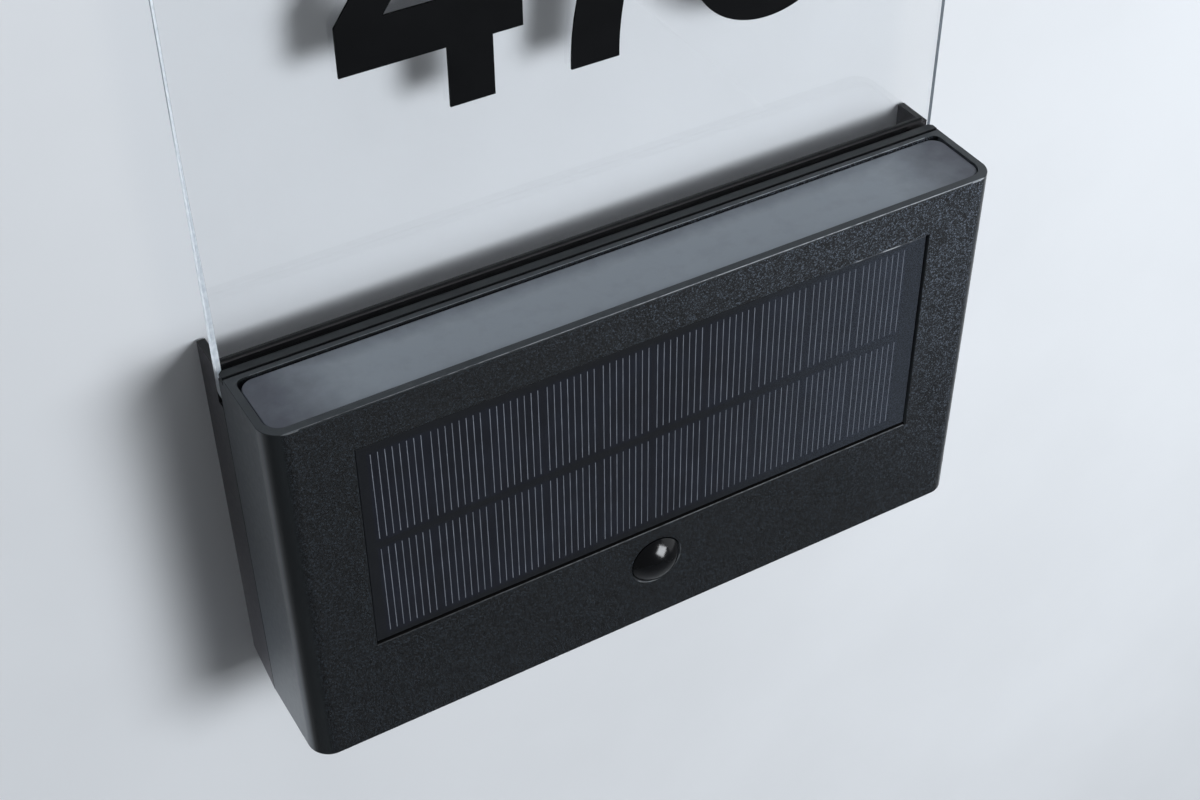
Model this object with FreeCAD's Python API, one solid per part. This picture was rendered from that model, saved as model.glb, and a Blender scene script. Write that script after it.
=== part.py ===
"""Solar house number light for a wall: a lamp box with a solar panel, a motion sensor and a
lit strip along its top, hung on a wall bracket that also holds a clear number plate.

Millimetres. +X is to the right as a visitor sees it, +Y goes into the wall, +Z is up.
The origin is the centre of the four wall screws, on the wall's own plane.
"""
import FreeCAD, Part
import math
import os

from FreeCAD import Vector

# ---------------------------------------------------------------- driving dimensions
# Lamp housing, as seen from the front
HOUSING_WIDTH = 180.0            # at the top rim
HOUSING_HEIGHT = 97.6
HOUSING_DEPTH = 21.9             # front face to the rear seam
SIDE_LEAN = 0.7                  # each side leans in by this from top to bottom
HOUSING_WALL = 1.8
HOUSING_CORNER_RADIUS = 5.4      # upright front corners
HOUSING_EDGE_RADIUS = 0.7        # bottom edges
HOUSING_RIM_RADIUS = 0.2         # top edges
SKIRT_WALL = 1.0                 # side and bottom walls that reach back around the cover
RIM_ABOVE_SCREWS = 50.0          # top rim above the centre of the wall screws

# Window for the lit strip in the top of the housing
WINDOW_FRONT_RIM = 2.2
WINDOW_REAR_RIM = 1.6
WINDOW_FRONT_RADIUS = 3.8
WINDOW_REAR_RADIUS = 1.8
RIM_STEP_DEPTH = 0.3             # small step that runs along the top front edge
RIM_STEP_DROP = 0.25
RIM_STEP_END = 7.0               # the step stops this far from each side

# Depth stack behind the seam, front to back
GASKET_THICKNESS = 0.4
COVER_THICKNESS = 2.4
COVER_SIDE_CLEARANCE = 0.1       # between the cover and the skirt around it
COVER_STRIP_HEIGHT = 1.6         # full-width strip along the cover's top
COVER_STRIP_CHAMFER = 0.8        # at the strip's two rear corners
GASKET_SUNK = 0.9                # below the rim, where the seam shows
SLOT_CLEARANCE = 0.25            # on each face of the number plate
PLATE_THICKNESS = 2.0
BRACKET_WALL = 1.8
BRACKET_STANDOFF = 7.0           # hollow between the bracket's front wall and the house wall

# Number plate
PLATE_ABOVE_RIM = 143.0
PLATE_IN_SLOT = 12.0
PLATE_FOOT_RADIUS = 6.0          # lower corners, inside the slot
PLATE_TOP_RADIUS = 4.0

# Numerals on the plate's front face
NUMERAL_HEIGHT = 54.0
NUMERAL_FOOT_ABOVE_RIM = 44.6
NUMERAL_THICKNESS = 0.5
NUMERAL_STROKE = 10.0
NUMERAL_BAR = 10.6
NUMERAL_OVERSHOOT = 1.6          # round shapes pass the foot and head lines by this
FOUR_LEFT = -57.4
FOUR_WIDTH = 39.6
SEVEN_LEFT = -14.2
SEVEN_WIDTH = 34.0
EIGHT_CENTRE = 40.5
EIGHT_WIDTH = 37.4

# Solar panel and its pocket in the front face
POCKET_FROM_SIDE = 18.0          # from each side of the housing at the rim
POCKET_BELOW_RIM = 10.4
POCKET_ABOVE_BOTTOM = 29.6
PANEL_GAP_LEFT = 0.15            # the panel lies up and to the left in its pocket
PANEL_GAP_RIGHT = 0.6
PANEL_GAP_TOP = 0.3
PANEL_GAP_BOTTOM = 0.7
PANEL_SUNK = 0.3
PANEL_EDGE_CHAMFER = 0.12
PANEL_FACE_THICKNESS = 0.5
PANEL_CELL_THICKNESS = 0.3
PANEL_BOARD_THICKNESS = 1.6
PANEL_TAPE_THICKNESS = 0.5
PANEL_TAPE_WIDTH = 4.0
POCKET_FLOOR = 1.6
POCKET_CHAMFER = 0.15
CELL_ROWS = 2
CELL_PITCH = 13.64
CELLS_OFF_CENTRE = -1.5          # the cell string sits a little to the left
CELL_GAP = 0.5
CELL_BORDER = 3.0                # least free width beside the cells
CELL_ROW_MARGIN = 1.6            # above and below the cells
CELL_ROW_GAP = 1.4
PANEL_LEAD_ABOVE_EDGE = 8.0      # the lead leaves this far above the panel's lower edge

# Motion sensor
SENSOR_ABOVE_BOTTOM = 19.0
SENSOR_HOLE_RADIUS = 6.7
DOME_GAP = 0.25
DOME_RISE = 3.0
DOME_WALL = 0.9
DOME_FLANGE_RADIUS = 8.6
DOME_FLANGE_THICKNESS = 1.0
CLAMP_RING_THICKNESS = 1.6
COLLAR_WALL = 1.2
COLLAR_CLEARANCE = 0.1
PIR_CAN_RADIUS = 4.1
PIR_CAN_HEIGHT = 4.2
PIR_BASE_RADIUS = 4.6
PIR_BASE_THICKNESS = 0.6

# Lit strip
DIFFUSER_SIDE_GAP = 0.25
DIFFUSER_FRONT_GAP = 0.3
DIFFUSER_REAR_GAP = 0.45
DIFFUSER_SUNK = 0.4
DIFFUSER_CORNER_RADIUS = 3.5
DIFFUSER_EDGE_RADIUS = 0.3
DIFFUSER_THICKNESS = 2.0
DIFFUSER_SKIRT = 5.0
DIFFUSER_SEAL_THICKNESS = 0.6
LEDGE_THICKNESS = 1.4
LEDGE_WIDTH = 1.6
WELL_CORNER_RADIUS = 2.0
TRAY_TOP_FROM_SIDE = 8.0
TRAY_TOP_WIDTH = 9.6
TRAY_FLOOR_FROM_SIDE = 12.0
TRAY_FLOOR_WIDTH = 8.2
TRAY_HEIGHT = 10.0
TRAY_WALL = 1.2
TRAY_FLANGE_END = 0.8            # the tray's flange stops this far from the side walls
TRAY_FLANGE_LAP = 1.2            # the flange reaches this far under the rear ledge
LED_BOARD_FROM_SIDE = 15.0
LED_BOARD_WIDTH = 7.6
LED_BOARD_THICKNESS = 1.0
LED_BOARD_END = 6.0              # least distance from the board's end to a lamp's middle
LED_PITCH = 12.4
LED_LENGTH = 3.5
LED_WIDTH = 2.8
LED_HEIGHT = 0.8

# Control board
BOARD_WIDTH = 76.0
BOARD_HEIGHT = 22.0
BOARD_THICKNESS = 1.6
BOARD_SCREW_INSET = 3.5
BOARD_POST_RADIUS = 2.6
CHIP_X = -3.0
CHIP_HALF = 5.0
CHIP_RISE = 1.6
COIL_X = -27.5
COIL_HALF = 3.5
COIL_RISE = 3.4
CAPACITOR_X = 19.8
CAPACITOR_DROP = 6.0             # below the sensor's centre
CAPACITOR_RADIUS = 2.6
CAPACITOR_RISE = 5.2

# Battery
BATTERY_RADIUS = 7.1
BATTERY_LENGTH = 50.0
BATTERY_BELOW_RIM = 50.0
BATTERY_CENTRE_X = -36.0
BATTERY_CLEARANCE = 0.05
HOLDER_WALL = 1.4
HOLDER_LIP = 3.0                 # the holder's walls reach this far past the cell's axis
HOLDER_END_ROOM = 2.4
CONTACT_THICKNESS = 0.5
CONTACT_WIDTH = 8.4
CONTACT_FOOT_RADIUS = 3.0
CONTACT_TIP_RADIUS = 1.6
BATTERY_TIP_RADIUS = 2.6
BATTERY_TIP_LENGTH = 1.2

# On/off switch in the rear cover
SWITCH_X = 52.0
SWITCH_BELOW_RIM = 58.0
SWITCH_BODY_LENGTH = 14.0
SWITCH_BODY_HEIGHT = 7.0
SWITCH_BODY_DEPTH = 6.0
SWITCH_FLOOR = 2.0
SWITCH_TRAVEL = 3.0
KNOB_LENGTH = 4.0
KNOB_HEIGHT = 3.6
KNOB_PROUD = 1.4
KNOB_CLEARANCE = 0.3
KNOB_GROOVE_COUNT = 3
KNOB_GROOVE_WIDTH = 0.4
KNOB_GROOVE_DEPTH = 0.4

# Screws and bosses
ROOT = 0.4                       # bosses, ribs and hooks start this far inside their wall
BOSS_RIB = 1.6
COVER_SCREW_FROM_SIDE = 8.0
COVER_SCREW_BELOW_RIM = 31.0
COVER_SCREW_ABOVE_BOTTOM = 6.6
COVER_SCREW_ROWS = 3
SCREW_RADIUS = 1.5
SCREW_LENGTH = 11.0
SCREW_HEAD_RADIUS = 2.8
SCREW_HEAD_HEIGHT = 1.5
SCREW_CLEARANCE = 0.05
DRIVE_LENGTH = 2.2
DRIVE_WIDTH = 0.5
DRIVE_DEPTH = 0.7
BOSS_RADIUS = 3.4
SMALL_SCREW_RADIUS = 1.0
SMALL_SCREW_LENGTH = 5.0
SMALL_HEAD_RADIUS = 1.9
SMALL_HEAD_HEIGHT = 1.1

# Hooks on the rear cover, and their slots in the bracket
HOOK_X = 40.0
HOOK_BELOW_RIM = 36.0
HOOK_ABOVE_BOTTOM = 21.6
HOOK_WIDTH = 12.0
HOOK_STEM = 3.0
HOOK_LIP = 5.0
HOOK_LIP_THICKNESS = 2.0
HOOK_CLEARANCE = 0.3

# Wall bracket
BRACKET_ABOVE_RIM = 0.4
BRACKET_REAR_RISE = 4.6          # the bracket's underside climbs by this towards the wall
BRACKET_BOTTOM_GAP = 0.4         # its lowest edge above the housing's bottom
CHEEK_BELOW_RIM = 9.8            # side cheeks start beside the plate's rounded foot
CHEEK_THICKNESS = 1.0
BRACKET_EDGE_CHAMFER = 0.3
WALL_SCREW_SPACING_X = 120.0
WALL_SCREW_SPACING_Z = 60.0
WALL_SCREW_HOLE_RADIUS = 2.25
WALL_BOSS_RADIUS = 6.0
WALL_SCREW_HEAD_RADIUS = 4.5
WALL_SCREW_HEAD_DEPTH = 4.0
SEAT_THICKNESS = 2.0
SEAT_LENGTH = 34.0
SEAT_X = 50.0
PAD_THICKNESS = 1.0

# Inner leads
LEAD_RADIUS = 0.6
LEAD_PITCH = 2.4
LEAD_BEND = 3.5
LEAD_STRAIGHT = 6.0              # shortest straight run beside a plug or a switch
LEAD_HOLE_RADIUS = 2.4
PLUG_WIDTH = 5.6
PLUG_HEIGHT = 5.2
PLUG_DEPTH = 4.4
PLUG_RISE = 2.6
PANEL_PLUG_X = 27.0
LED_PLUG_X = 12.5
BATTERY_PLUG_X = -16.5

# ---------------------------------------------------------------- places worked out from them
Z_RIM = RIM_ABOVE_SCREWS
Z_BOTTOM = Z_RIM - HOUSING_HEIGHT
Y_BRACKET_BACK = -BRACKET_STANDOFF
Y_BRACKET_FRONT = Y_BRACKET_BACK - BRACKET_WALL
Y_PLATE_BACK = Y_BRACKET_FRONT - SLOT_CLEARANCE
Y_PLATE_FRONT = Y_PLATE_BACK - PLATE_THICKNESS
Y_COVER_BACK = Y_PLATE_FRONT - SLOT_CLEARANCE
Y_COVER_FRONT = Y_COVER_BACK - COVER_THICKNESS
Y_SEAM = Y_COVER_FRONT - GASKET_THICKNESS
Y_FRONT = Y_SEAM - HOUSING_DEPTH
HALF_WIDTH = HOUSING_WIDTH / 2

TOUCH = 0.01                     # places closer than this are the same
LAMP_LIFT = HOOK_LIP + 2 * HOOK_CLEARANCE        # travel that frees the hooks from their slots

Y_PANEL_FACE = Y_FRONT + PANEL_SUNK
Y_PANEL_CELLS = Y_PANEL_FACE + PANEL_FACE_THICKNESS
Y_PANEL_BOARD = Y_PANEL_CELLS + PANEL_CELL_THICKNESS
Y_PANEL_TAPE = Y_PANEL_BOARD + PANEL_BOARD_THICKNESS
Y_POCKET_FLOOR = Y_PANEL_TAPE + PANEL_TAPE_THICKNESS
Y_POCKET_BACK = Y_POCKET_FLOOR + POCKET_FLOOR
POCKET_HALF = HALF_WIDTH - POCKET_FROM_SIDE
Z_POCKET_TOP = Z_RIM - POCKET_BELOW_RIM
Z_POCKET_BOTTOM = Z_BOTTOM + POCKET_ABOVE_BOTTOM
X_PANEL_LEFT = -POCKET_HALF + PANEL_GAP_LEFT
X_PANEL_RIGHT = POCKET_HALF - PANEL_GAP_RIGHT
Z_PANEL_TOP = Z_POCKET_TOP - PANEL_GAP_TOP
Z_PANEL_BOTTOM = Z_POCKET_BOTTOM + PANEL_GAP_BOTTOM
CELL_COLUMNS = int((X_PANEL_RIGHT - X_PANEL_LEFT - 2 * CELL_BORDER) / CELL_PITCH)
CELL_HEIGHT = (Z_PANEL_TOP - Z_PANEL_BOTTOM - CELL_ROW_GAP) / CELL_ROWS - CELL_ROW_MARGIN

Z_SENSOR = Z_BOTTOM + SENSOR_ABOVE_BOTTOM
Y_INSIDE_FRONT = Y_FRONT + HOUSING_WALL

Z_DIFFUSER_TOP = Z_RIM - DIFFUSER_SUNK
Z_DIFFUSER_FOOT = Z_DIFFUSER_TOP - DIFFUSER_SKIRT
Z_LEDGE_TOP = Z_DIFFUSER_FOOT - DIFFUSER_SEAL_THICKNESS
Y_WINDOW_FRONT = Y_FRONT + WINDOW_FRONT_RIM
Y_WINDOW_REAR = Y_SEAM - WINDOW_REAR_RIM
HALF_WINDOW = HALF_WIDTH - HOUSING_WALL
Y_WINDOW_MIDDLE = (Y_WINDOW_FRONT + Y_WINDOW_REAR) / 2
Z_PANEL_LEAD = Z_PANEL_BOTTOM + PANEL_LEAD_ABOVE_EDGE
LED_BOARD_HALF = HALF_WIDTH - LED_BOARD_FROM_SIDE
LED_COUNT = int(2 * (LED_BOARD_HALF - LED_BOARD_END) / LED_PITCH) + 1


# ---------------------------------------------------------------- small helpers
def box(x0, x1, y0, y1, z0, z1):
    """A box from its low and high corners."""
    return Part.makeBox(x1 - x0, y1 - y0, z1 - z0, Vector(x0, y0, z0))


def rod(x, y, z, radius, length, axis):
    """A cylinder that starts at a point and runs along an axis."""
    return Part.makeCylinder(radius, length, Vector(x, y, z), axis)


def cone(x, y, z, radius_from, radius_to, length, axis):
    """A cone frustum that starts at a point and runs along an axis."""
    return Part.makeCone(radius_from, radius_to, length, Vector(x, y, z), axis)


def prism(points, direction):
    """A closed polygon swept along a direction."""
    wire = Part.makePolygon(points + [points[0]])
    return Part.Face(wire).extrude(direction)


def one_solid(shape):
    """The single solid in a shape."""
    solids = shape.removeSplitter().Solids
    if len(solids) != 1:
        raise ValueError("expected one solid, got %d" % len(solids))
    return solids[0]


def group(solids):
    """Separate solids kept together in one compound."""
    return Part.makeCompound([one_solid(solid) for solid in solids])


def save(node, shape):
    """Write one node's STEP file and print its size."""
    solids = shape.Solids
    bounds = shape.BoundBox
    shape.exportStep("parts/%s.step" % node)
    print("%-18s %3d solid(s)  %7.1f x %6.1f x %6.1f mm" % (
        node, len(solids), bounds.XLength, bounds.YLength, bounds.ZLength))


FRONT = Vector(0, -1, 0)
BACK = Vector(0, 1, 0)
UP = Vector(0, 0, 1)
DOWN = Vector(0, 0, -1)
RIGHT = Vector(1, 0, 0)


def side_x(z):
    """Half the housing's width at a height: the sides lean in towards the bottom."""
    return HALF_WIDTH - SIDE_LEAN * (Z_RIM - z) / HOUSING_HEIGHT


def leaning_block(inset, y0, y1, z0, z1):
    """A block whose two sides follow the housing's lean, set in by the inset."""
    top = side_x(z1) - inset
    bottom = side_x(z0) - inset
    points = [
        Vector(-bottom, y0, z0),
        Vector(bottom, y0, z0),
        Vector(top, y0, z1),
        Vector(-top, y0, z1),
    ]
    return prism(points, Vector(0, y1 - y0, 0))


def upright_edges(shape, y):
    """The two long edges between the sides and a face at depth y."""
    found = []
    for edge in shape.Edges:
        bounds = edge.BoundBox
        at_face = abs(bounds.YMin - y) < TOUCH and abs(bounds.YMax - y) < TOUCH
        if at_face and bounds.ZLength > bounds.XLength:
            found.append(edge)
    return found


def corner_edges(block, y):
    """The vertical corners of a straight block at depth y."""
    found = []
    for edge in block.Edges:
        bounds = edge.BoundBox
        at_face = abs(bounds.YMin - y) < TOUCH and abs(bounds.YMax - y) < TOUCH
        if at_face and bounds.XLength < TOUCH:
            found.append(edge)
    return found


def edges_at_z(shape, z):
    """All edges that lie in a level plane."""
    found = []
    for edge in shape.Edges:
        bounds = edge.BoundBox
        if abs(bounds.ZMin - z) < TOUCH and abs(bounds.ZMax - z) < TOUCH:
            found.append(edge)
    return found


def round_rect(half_x, y0, y1, z0, z1, front_radius, rear_radius):
    """An upright block with rounded front and rear vertical corners."""
    block = box(-half_x, half_x, y0, y1, z0, z1)
    for y, radius in ((y0, front_radius), (y1, rear_radius)):
        block = block.makeFillet(radius, corner_edges(block, y))
    return block


def path_tube(points, bend, radius):
    """A round lead along straight runs joined by tangent arcs."""
    edges = []
    start = points[0]
    for before, corner, after in zip(points, points[1:], points[2:]):
        come = (corner - before).normalize()
        leave = (after - corner).normalize()
        turn = come.getAngle(leave)
        cut_back = bend * math.tan(turn / 2)
        arc_start = corner - come * cut_back
        arc_end = corner + leave * cut_back
        towards_centre = (leave - come).normalize()
        reach = bend / math.cos(turn / 2) - bend
        arc_middle = corner + towards_centre * reach
        edges.append(Part.LineSegment(start, arc_start).toShape())
        edges.append(Part.Arc(arc_start, arc_middle, arc_end).toShape())
        start = arc_end
    edges.append(Part.LineSegment(start, points[-1]).toShape())
    wire = Part.Wire(edges)
    along = (points[1] - points[0]).normalize()
    circle = Part.Wire([Part.makeCircle(radius, points[0], along)])
    tube = wire.makePipeShell([circle], True, False)
    return tube


# ---------------------------------------------------------------- wall bracket
def hook_places():
    """The centre of each hook's stem underside."""
    heights = (Z_RIM - HOOK_BELOW_RIM, Z_BOTTOM + HOOK_ABOVE_BOTTOM)
    return [(side * HOOK_X, z) for z in heights for side in (-1, 1)]


def wall_screw_places():
    """The four wall screws."""
    half_x = WALL_SCREW_SPACING_X / 2
    half_z = WALL_SCREW_SPACING_Z / 2
    return [(x, z) for x in (-half_x, half_x) for z in (-half_z, half_z)]


def bracket_profile(inset, y_front):
    """Side outline of the bracket: its underside climbs towards the wall."""
    z_top = Z_RIM + BRACKET_ABOVE_RIM
    z_front = Z_BOTTOM + BRACKET_BOTTOM_GAP + inset
    slope = BRACKET_REAR_RISE / (-Y_PLATE_FRONT)
    z_here = z_front + slope * (y_front - Y_PLATE_FRONT)
    z_wall = z_front + BRACKET_REAR_RISE
    return [(y_front, z_here), (0.0, z_wall), (0.0, z_top), (y_front, z_top)]


def bracket_block(inset, y_front):
    """A full-width block with the bracket's side outline and the housing's lean."""
    outline = [Vector(-HOUSING_WIDTH, y, z) for y, z in bracket_profile(inset, y_front)]
    slab = prism(outline, Vector(2 * HOUSING_WIDTH, 0, 0))
    z_low = Z_BOTTOM - 1
    z_high = Z_RIM + BRACKET_ABOVE_RIM
    sides = leaning_block(inset, y_front, 1, z_low, z_high + 1)
    return slab.common(sides)


def wall_bracket():
    """Open-backed tray with side flanges, screw bosses, hook slots and a seat for the plate."""
    tray = bracket_block(0.0, Y_BRACKET_FRONT)
    top_edges = edges_at_z(tray, Z_RIM + BRACKET_ABOVE_RIM)
    tray = tray.makeChamfer(BRACKET_EDGE_CHAMFER, top_edges)
    hollow = bracket_block(BRACKET_WALL, Y_BRACKET_BACK)
    hollow = hollow.fuse(hollow.translated(UP * 2 * BRACKET_WALL))
    body = tray.cut(hollow)

    # thin cheeks close the sides of the slot beside the plate's rounded foot
    cheek_top = Z_RIM - CHEEK_BELOW_RIM
    cheeks = bracket_block(0.0, Y_PLATE_FRONT)
    cheeks = cheeks.cut(bracket_block(CHEEK_THICKNESS, Y_PLATE_FRONT - 1))
    zone = box(-HALF_WIDTH, HALF_WIDTH, Y_PLATE_FRONT, Y_BRACKET_FRONT, Z_BOTTOM, cheek_top)
    body = body.fuse(cheeks.common(zone))

    # bosses reach back to the wall around the screws
    through = -Y_BRACKET_FRONT + 2
    for x, z in wall_screw_places():
        body = body.fuse(rod(x, Y_BRACKET_FRONT, z, WALL_BOSS_RADIUS, -Y_BRACKET_FRONT, BACK))
    for x, z in wall_screw_places():
        body = body.cut(rod(x, Y_BRACKET_FRONT - 1, z, WALL_SCREW_HOLE_RADIUS, through, BACK))
        sink = rod(x, Y_BRACKET_FRONT - 1, z, WALL_SCREW_HEAD_RADIUS, 1 + WALL_SCREW_HEAD_DEPTH, BACK)
        body = body.cut(sink)

    # slots for the lamp's hooks
    slot_half = HOOK_WIDTH / 2 + HOOK_CLEARANCE
    slot_height = HOOK_STEM + LAMP_LIFT + HOOK_CLEARANCE
    for x, z in hook_places():
        slot = box(
            x - slot_half, x + slot_half, Y_BRACKET_FRONT - 1, Y_BRACKET_BACK + 1, z, z + slot_height)
        body = body.cut(slot)

    # the plate stands on two short ledges
    z_seat = Z_RIM - PLATE_IN_SLOT - PAD_THICKNESS
    for side in (-1, 1):
        x = side * SEAT_X
        half = SEAT_LENGTH / 2
        z_under = z_seat - SEAT_THICKNESS
        ledge = box(x - half, x + half, Y_PLATE_FRONT, Y_BRACKET_FRONT, z_under, z_seat)
        body = body.fuse(ledge)
    return one_solid(body)


def plate_pads():
    """Soft pads between the ledges and the plate's foot."""
    z_seat = Z_RIM - PLATE_IN_SLOT - PAD_THICKNESS
    pads = []
    for side in (-1, 1):
        x = side * SEAT_X
        half = SEAT_LENGTH / 2
        z_pad = z_seat + PAD_THICKNESS
        pads.append(box(x - half, x + half, Y_PLATE_FRONT, Y_PLATE_BACK, z_seat, z_pad))
    return group(pads)


# ---------------------------------------------------------------- number plate and numerals
def across_edges(shape, z_low, z_high):
    """The short edges through the plate's thickness between two heights."""
    found = []
    for edge in shape.Edges:
        bounds = edge.BoundBox
        inside = z_low <= bounds.ZMin and bounds.ZMax <= z_high
        if inside and bounds.YLength > PLATE_THICKNESS / 2:
            found.append(edge)
    return found


def number_plate():
    """Clear sheet with rounded corners, as wide as the housing."""
    z_foot = Z_RIM - PLATE_IN_SLOT
    z_top = Z_RIM + PLATE_ABOVE_RIM
    sheet = box(-HALF_WIDTH, HALF_WIDTH, Y_PLATE_FRONT, Y_PLATE_BACK, z_foot, z_top)
    sheet = sheet.makeFillet(PLATE_TOP_RADIUS, across_edges(sheet, Z_RIM, z_top + 1))
    return one_solid(sheet.makeFillet(PLATE_FOOT_RADIUS, across_edges(sheet, z_foot - 1, Z_RIM)))


def numeral_point(x, z):
    """A point of a numeral's outline, measured up from the numerals' foot line."""
    return Vector(x, Y_PLATE_FRONT, Z_RIM + NUMERAL_FOOT_ABOVE_RIM + z)


def numeral_solid(face):
    """A cut-out figure of film on the plate's front face."""
    return one_solid(face.extrude(FRONT * NUMERAL_THICKNESS))


def numeral_four():
    """A plain block 4: stem, crossbar and slanted stroke around a three-cornered opening."""
    bar_low = NUMERAL_HEIGHT / 4
    bar_high = bar_low + NUMERAL_BAR
    stem_right = FOUR_LEFT + 0.83 * FOUR_WIDTH
    stem_left = stem_right - NUMERAL_STROKE
    slope = (NUMERAL_HEIGHT - bar_high) / (stem_left - FOUR_LEFT - 0.1 * NUMERAL_STROKE)
    peak_left = FOUR_LEFT + (NUMERAL_HEIGHT - bar_high) / slope
    counter_left = FOUR_LEFT + NUMERAL_STROKE
    counter_high = bar_high + slope * (stem_left - counter_left)
    outline = [
        numeral_point(stem_left, 0),
        numeral_point(stem_right, 0),
        numeral_point(stem_right, bar_low),
        numeral_point(FOUR_LEFT + FOUR_WIDTH, bar_low),
        numeral_point(FOUR_LEFT + FOUR_WIDTH, bar_high),
        numeral_point(stem_right, bar_high),
        numeral_point(stem_right, NUMERAL_HEIGHT),
        numeral_point(peak_left, NUMERAL_HEIGHT),
        numeral_point(FOUR_LEFT, bar_high),
        numeral_point(FOUR_LEFT, bar_low),
        numeral_point(stem_left, bar_low),
    ]
    opening = [
        numeral_point(counter_left, bar_high),
        numeral_point(stem_left, bar_high),
        numeral_point(stem_left, counter_high),
    ]
    solid = prism(outline, FRONT * NUMERAL_THICKNESS)
    return one_solid(solid.cut(prism(opening, FRONT * NUMERAL_THICKNESS)))


def numeral_seven():
    """A plain block 7 with a gently curved stem."""
    right = SEVEN_LEFT + SEVEN_WIDTH
    bar_low = NUMERAL_HEIGHT - NUMERAL_BAR
    foot_left = SEVEN_LEFT + 0.21 * SEVEN_WIDTH
    foot_right = foot_left + 1.12 * NUMERAL_STROKE
    inner_top = right - 1.15 * NUMERAL_STROKE
    inner_arc = Part.Arc(
        numeral_point(inner_top, bar_low),
        numeral_point(foot_left + 0.2 * (inner_top - foot_left), 0.48 * bar_low),
        numeral_point(foot_left, 0))
    outer_arc = Part.Arc(
        numeral_point(foot_right, 0),
        numeral_point(foot_right + 0.2 * (right - foot_right), 0.48 * bar_low),
        numeral_point(right, bar_low))
    corners = [
        numeral_point(right, bar_low),
        numeral_point(right, NUMERAL_HEIGHT),
        numeral_point(SEVEN_LEFT, NUMERAL_HEIGHT),
        numeral_point(SEVEN_LEFT, bar_low),
        numeral_point(inner_top, bar_low),
    ]
    edges = [Part.LineSegment(a, b).toShape() for a, b in zip(corners, corners[1:])]
    edges.append(inner_arc.toShape())
    edges.append(Part.LineSegment(numeral_point(foot_left, 0), numeral_point(foot_right, 0)).toShape())
    edges.append(outer_arc.toShape())
    wire = Part.Wire(Part.__sortEdges__(edges))
    return numeral_solid(Part.Face(wire))


def oval(z, half_x, half_z):
    """A film oval centred on the 8's middle line."""
    centre = numeral_point(EIGHT_CENTRE, z)
    if half_x >= half_z:
        ellipse = Part.Ellipse(centre + Vector(half_x, 0, 0), centre + Vector(0, 0, half_z), centre)
    else:
        ellipse = Part.Ellipse(centre + Vector(0, 0, half_z), centre + Vector(half_x, 0, 0), centre)
    face = Part.Face(Part.Wire([ellipse.toShape()]))
    return face.extrude(FRONT * NUMERAL_THICKNESS)


def numeral_eight():
    """A plain block 8: two stacked rings, the lower one wider."""
    low_half_x = EIGHT_WIDTH / 2
    high_half_x = low_half_x * 0.9
    low_half_z = NUMERAL_HEIGHT * 0.3
    high_half_z = NUMERAL_HEIGHT * 0.275
    low_z = low_half_z - NUMERAL_OVERSHOOT
    high_z = NUMERAL_HEIGHT + NUMERAL_OVERSHOOT - high_half_z
    rings = oval(low_z, low_half_x, low_half_z).fuse(oval(high_z, high_half_x, high_half_z))
    ring_width = 0.86 * NUMERAL_STROKE
    rings = rings.cut(oval(low_z, low_half_x - NUMERAL_STROKE, low_half_z - ring_width))
    rings = rings.cut(oval(high_z, high_half_x - NUMERAL_STROKE, high_half_z - ring_width))
    return one_solid(rings)


# ---------------------------------------------------------------- lamp housing
def cover_screw_places():
    """The rear cover's screws, in level rows from top to bottom."""
    x = HALF_WIDTH - COVER_SCREW_FROM_SIDE
    z_high = Z_RIM - COVER_SCREW_BELOW_RIM
    z_low = Z_BOTTOM + COVER_SCREW_ABOVE_BOTTOM
    pitch = (z_high - z_low) / (COVER_SCREW_ROWS - 1)
    return [(side * x, z_high - row * pitch) for row in range(COVER_SCREW_ROWS) for side in (-1, 1)]


def board_screw_places():
    """The control board's screws."""
    half_x = BOARD_WIDTH / 2 - BOARD_SCREW_INSET
    half_z = BOARD_HEIGHT / 2 - BOARD_SCREW_INSET
    return [(x, Z_SENSOR + z) for x in (-half_x, half_x) for z in (-half_z, half_z)]


def board_front():
    """Depth of the control board's front face, behind the sensor can."""
    return Y_INSIDE_FRONT + DOME_FLANGE_THICKNESS + CLAMP_RING_THICKNESS + PIR_CAN_HEIGHT / 2


def pocket_box(spread, y0, y1):
    """A block over the pocket's outline, larger by the spread on each side."""
    half = POCKET_HALF + spread
    return box(-half, half, y0, y1, Z_POCKET_BOTTOM - spread, Z_POCKET_TOP + spread)


def panel_box(inset, y0, y1):
    """A block over the solar panel's outline, set in by the inset on each side."""
    return box(
        X_PANEL_LEFT + inset, X_PANEL_RIGHT - inset, y0, y1,
        Z_PANEL_BOTTOM + inset, Z_PANEL_TOP - inset)


def rounded_shell():
    """The housing's solid outside, with its corners and edges rounded."""
    outer = leaning_block(0.0, Y_FRONT, Y_COVER_BACK, Z_BOTTOM, Z_RIM)
    outer = outer.makeFillet(HOUSING_CORNER_RADIUS, upright_edges(outer, Y_FRONT))
    for z, radius in ((Z_BOTTOM, HOUSING_EDGE_RADIUS), (Z_RIM, HOUSING_RIM_RADIUS)):
        edges = [edge for edge in edges_at_z(outer, z) if edge.BoundBox.YMin < Y_COVER_BACK - TOUCH]
        outer = outer.makeFillet(radius, edges)
    return outer


def pocket_rim(body):
    """The four front edges of the panel's pocket."""
    found = []
    for edge in body.Edges:
        bounds = edge.BoundBox
        in_face = abs(bounds.YMin - Y_FRONT) < TOUCH and abs(bounds.YMax - Y_FRONT) < TOUCH
        in_x = max(-bounds.XMin, bounds.XMax) < POCKET_HALF + TOUCH
        in_z = bounds.ZMin > Z_POCKET_BOTTOM - TOUCH and bounds.ZMax < Z_POCKET_TOP + TOUCH
        if in_face and in_x and in_z:
            found.append(edge)
    return found


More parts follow.
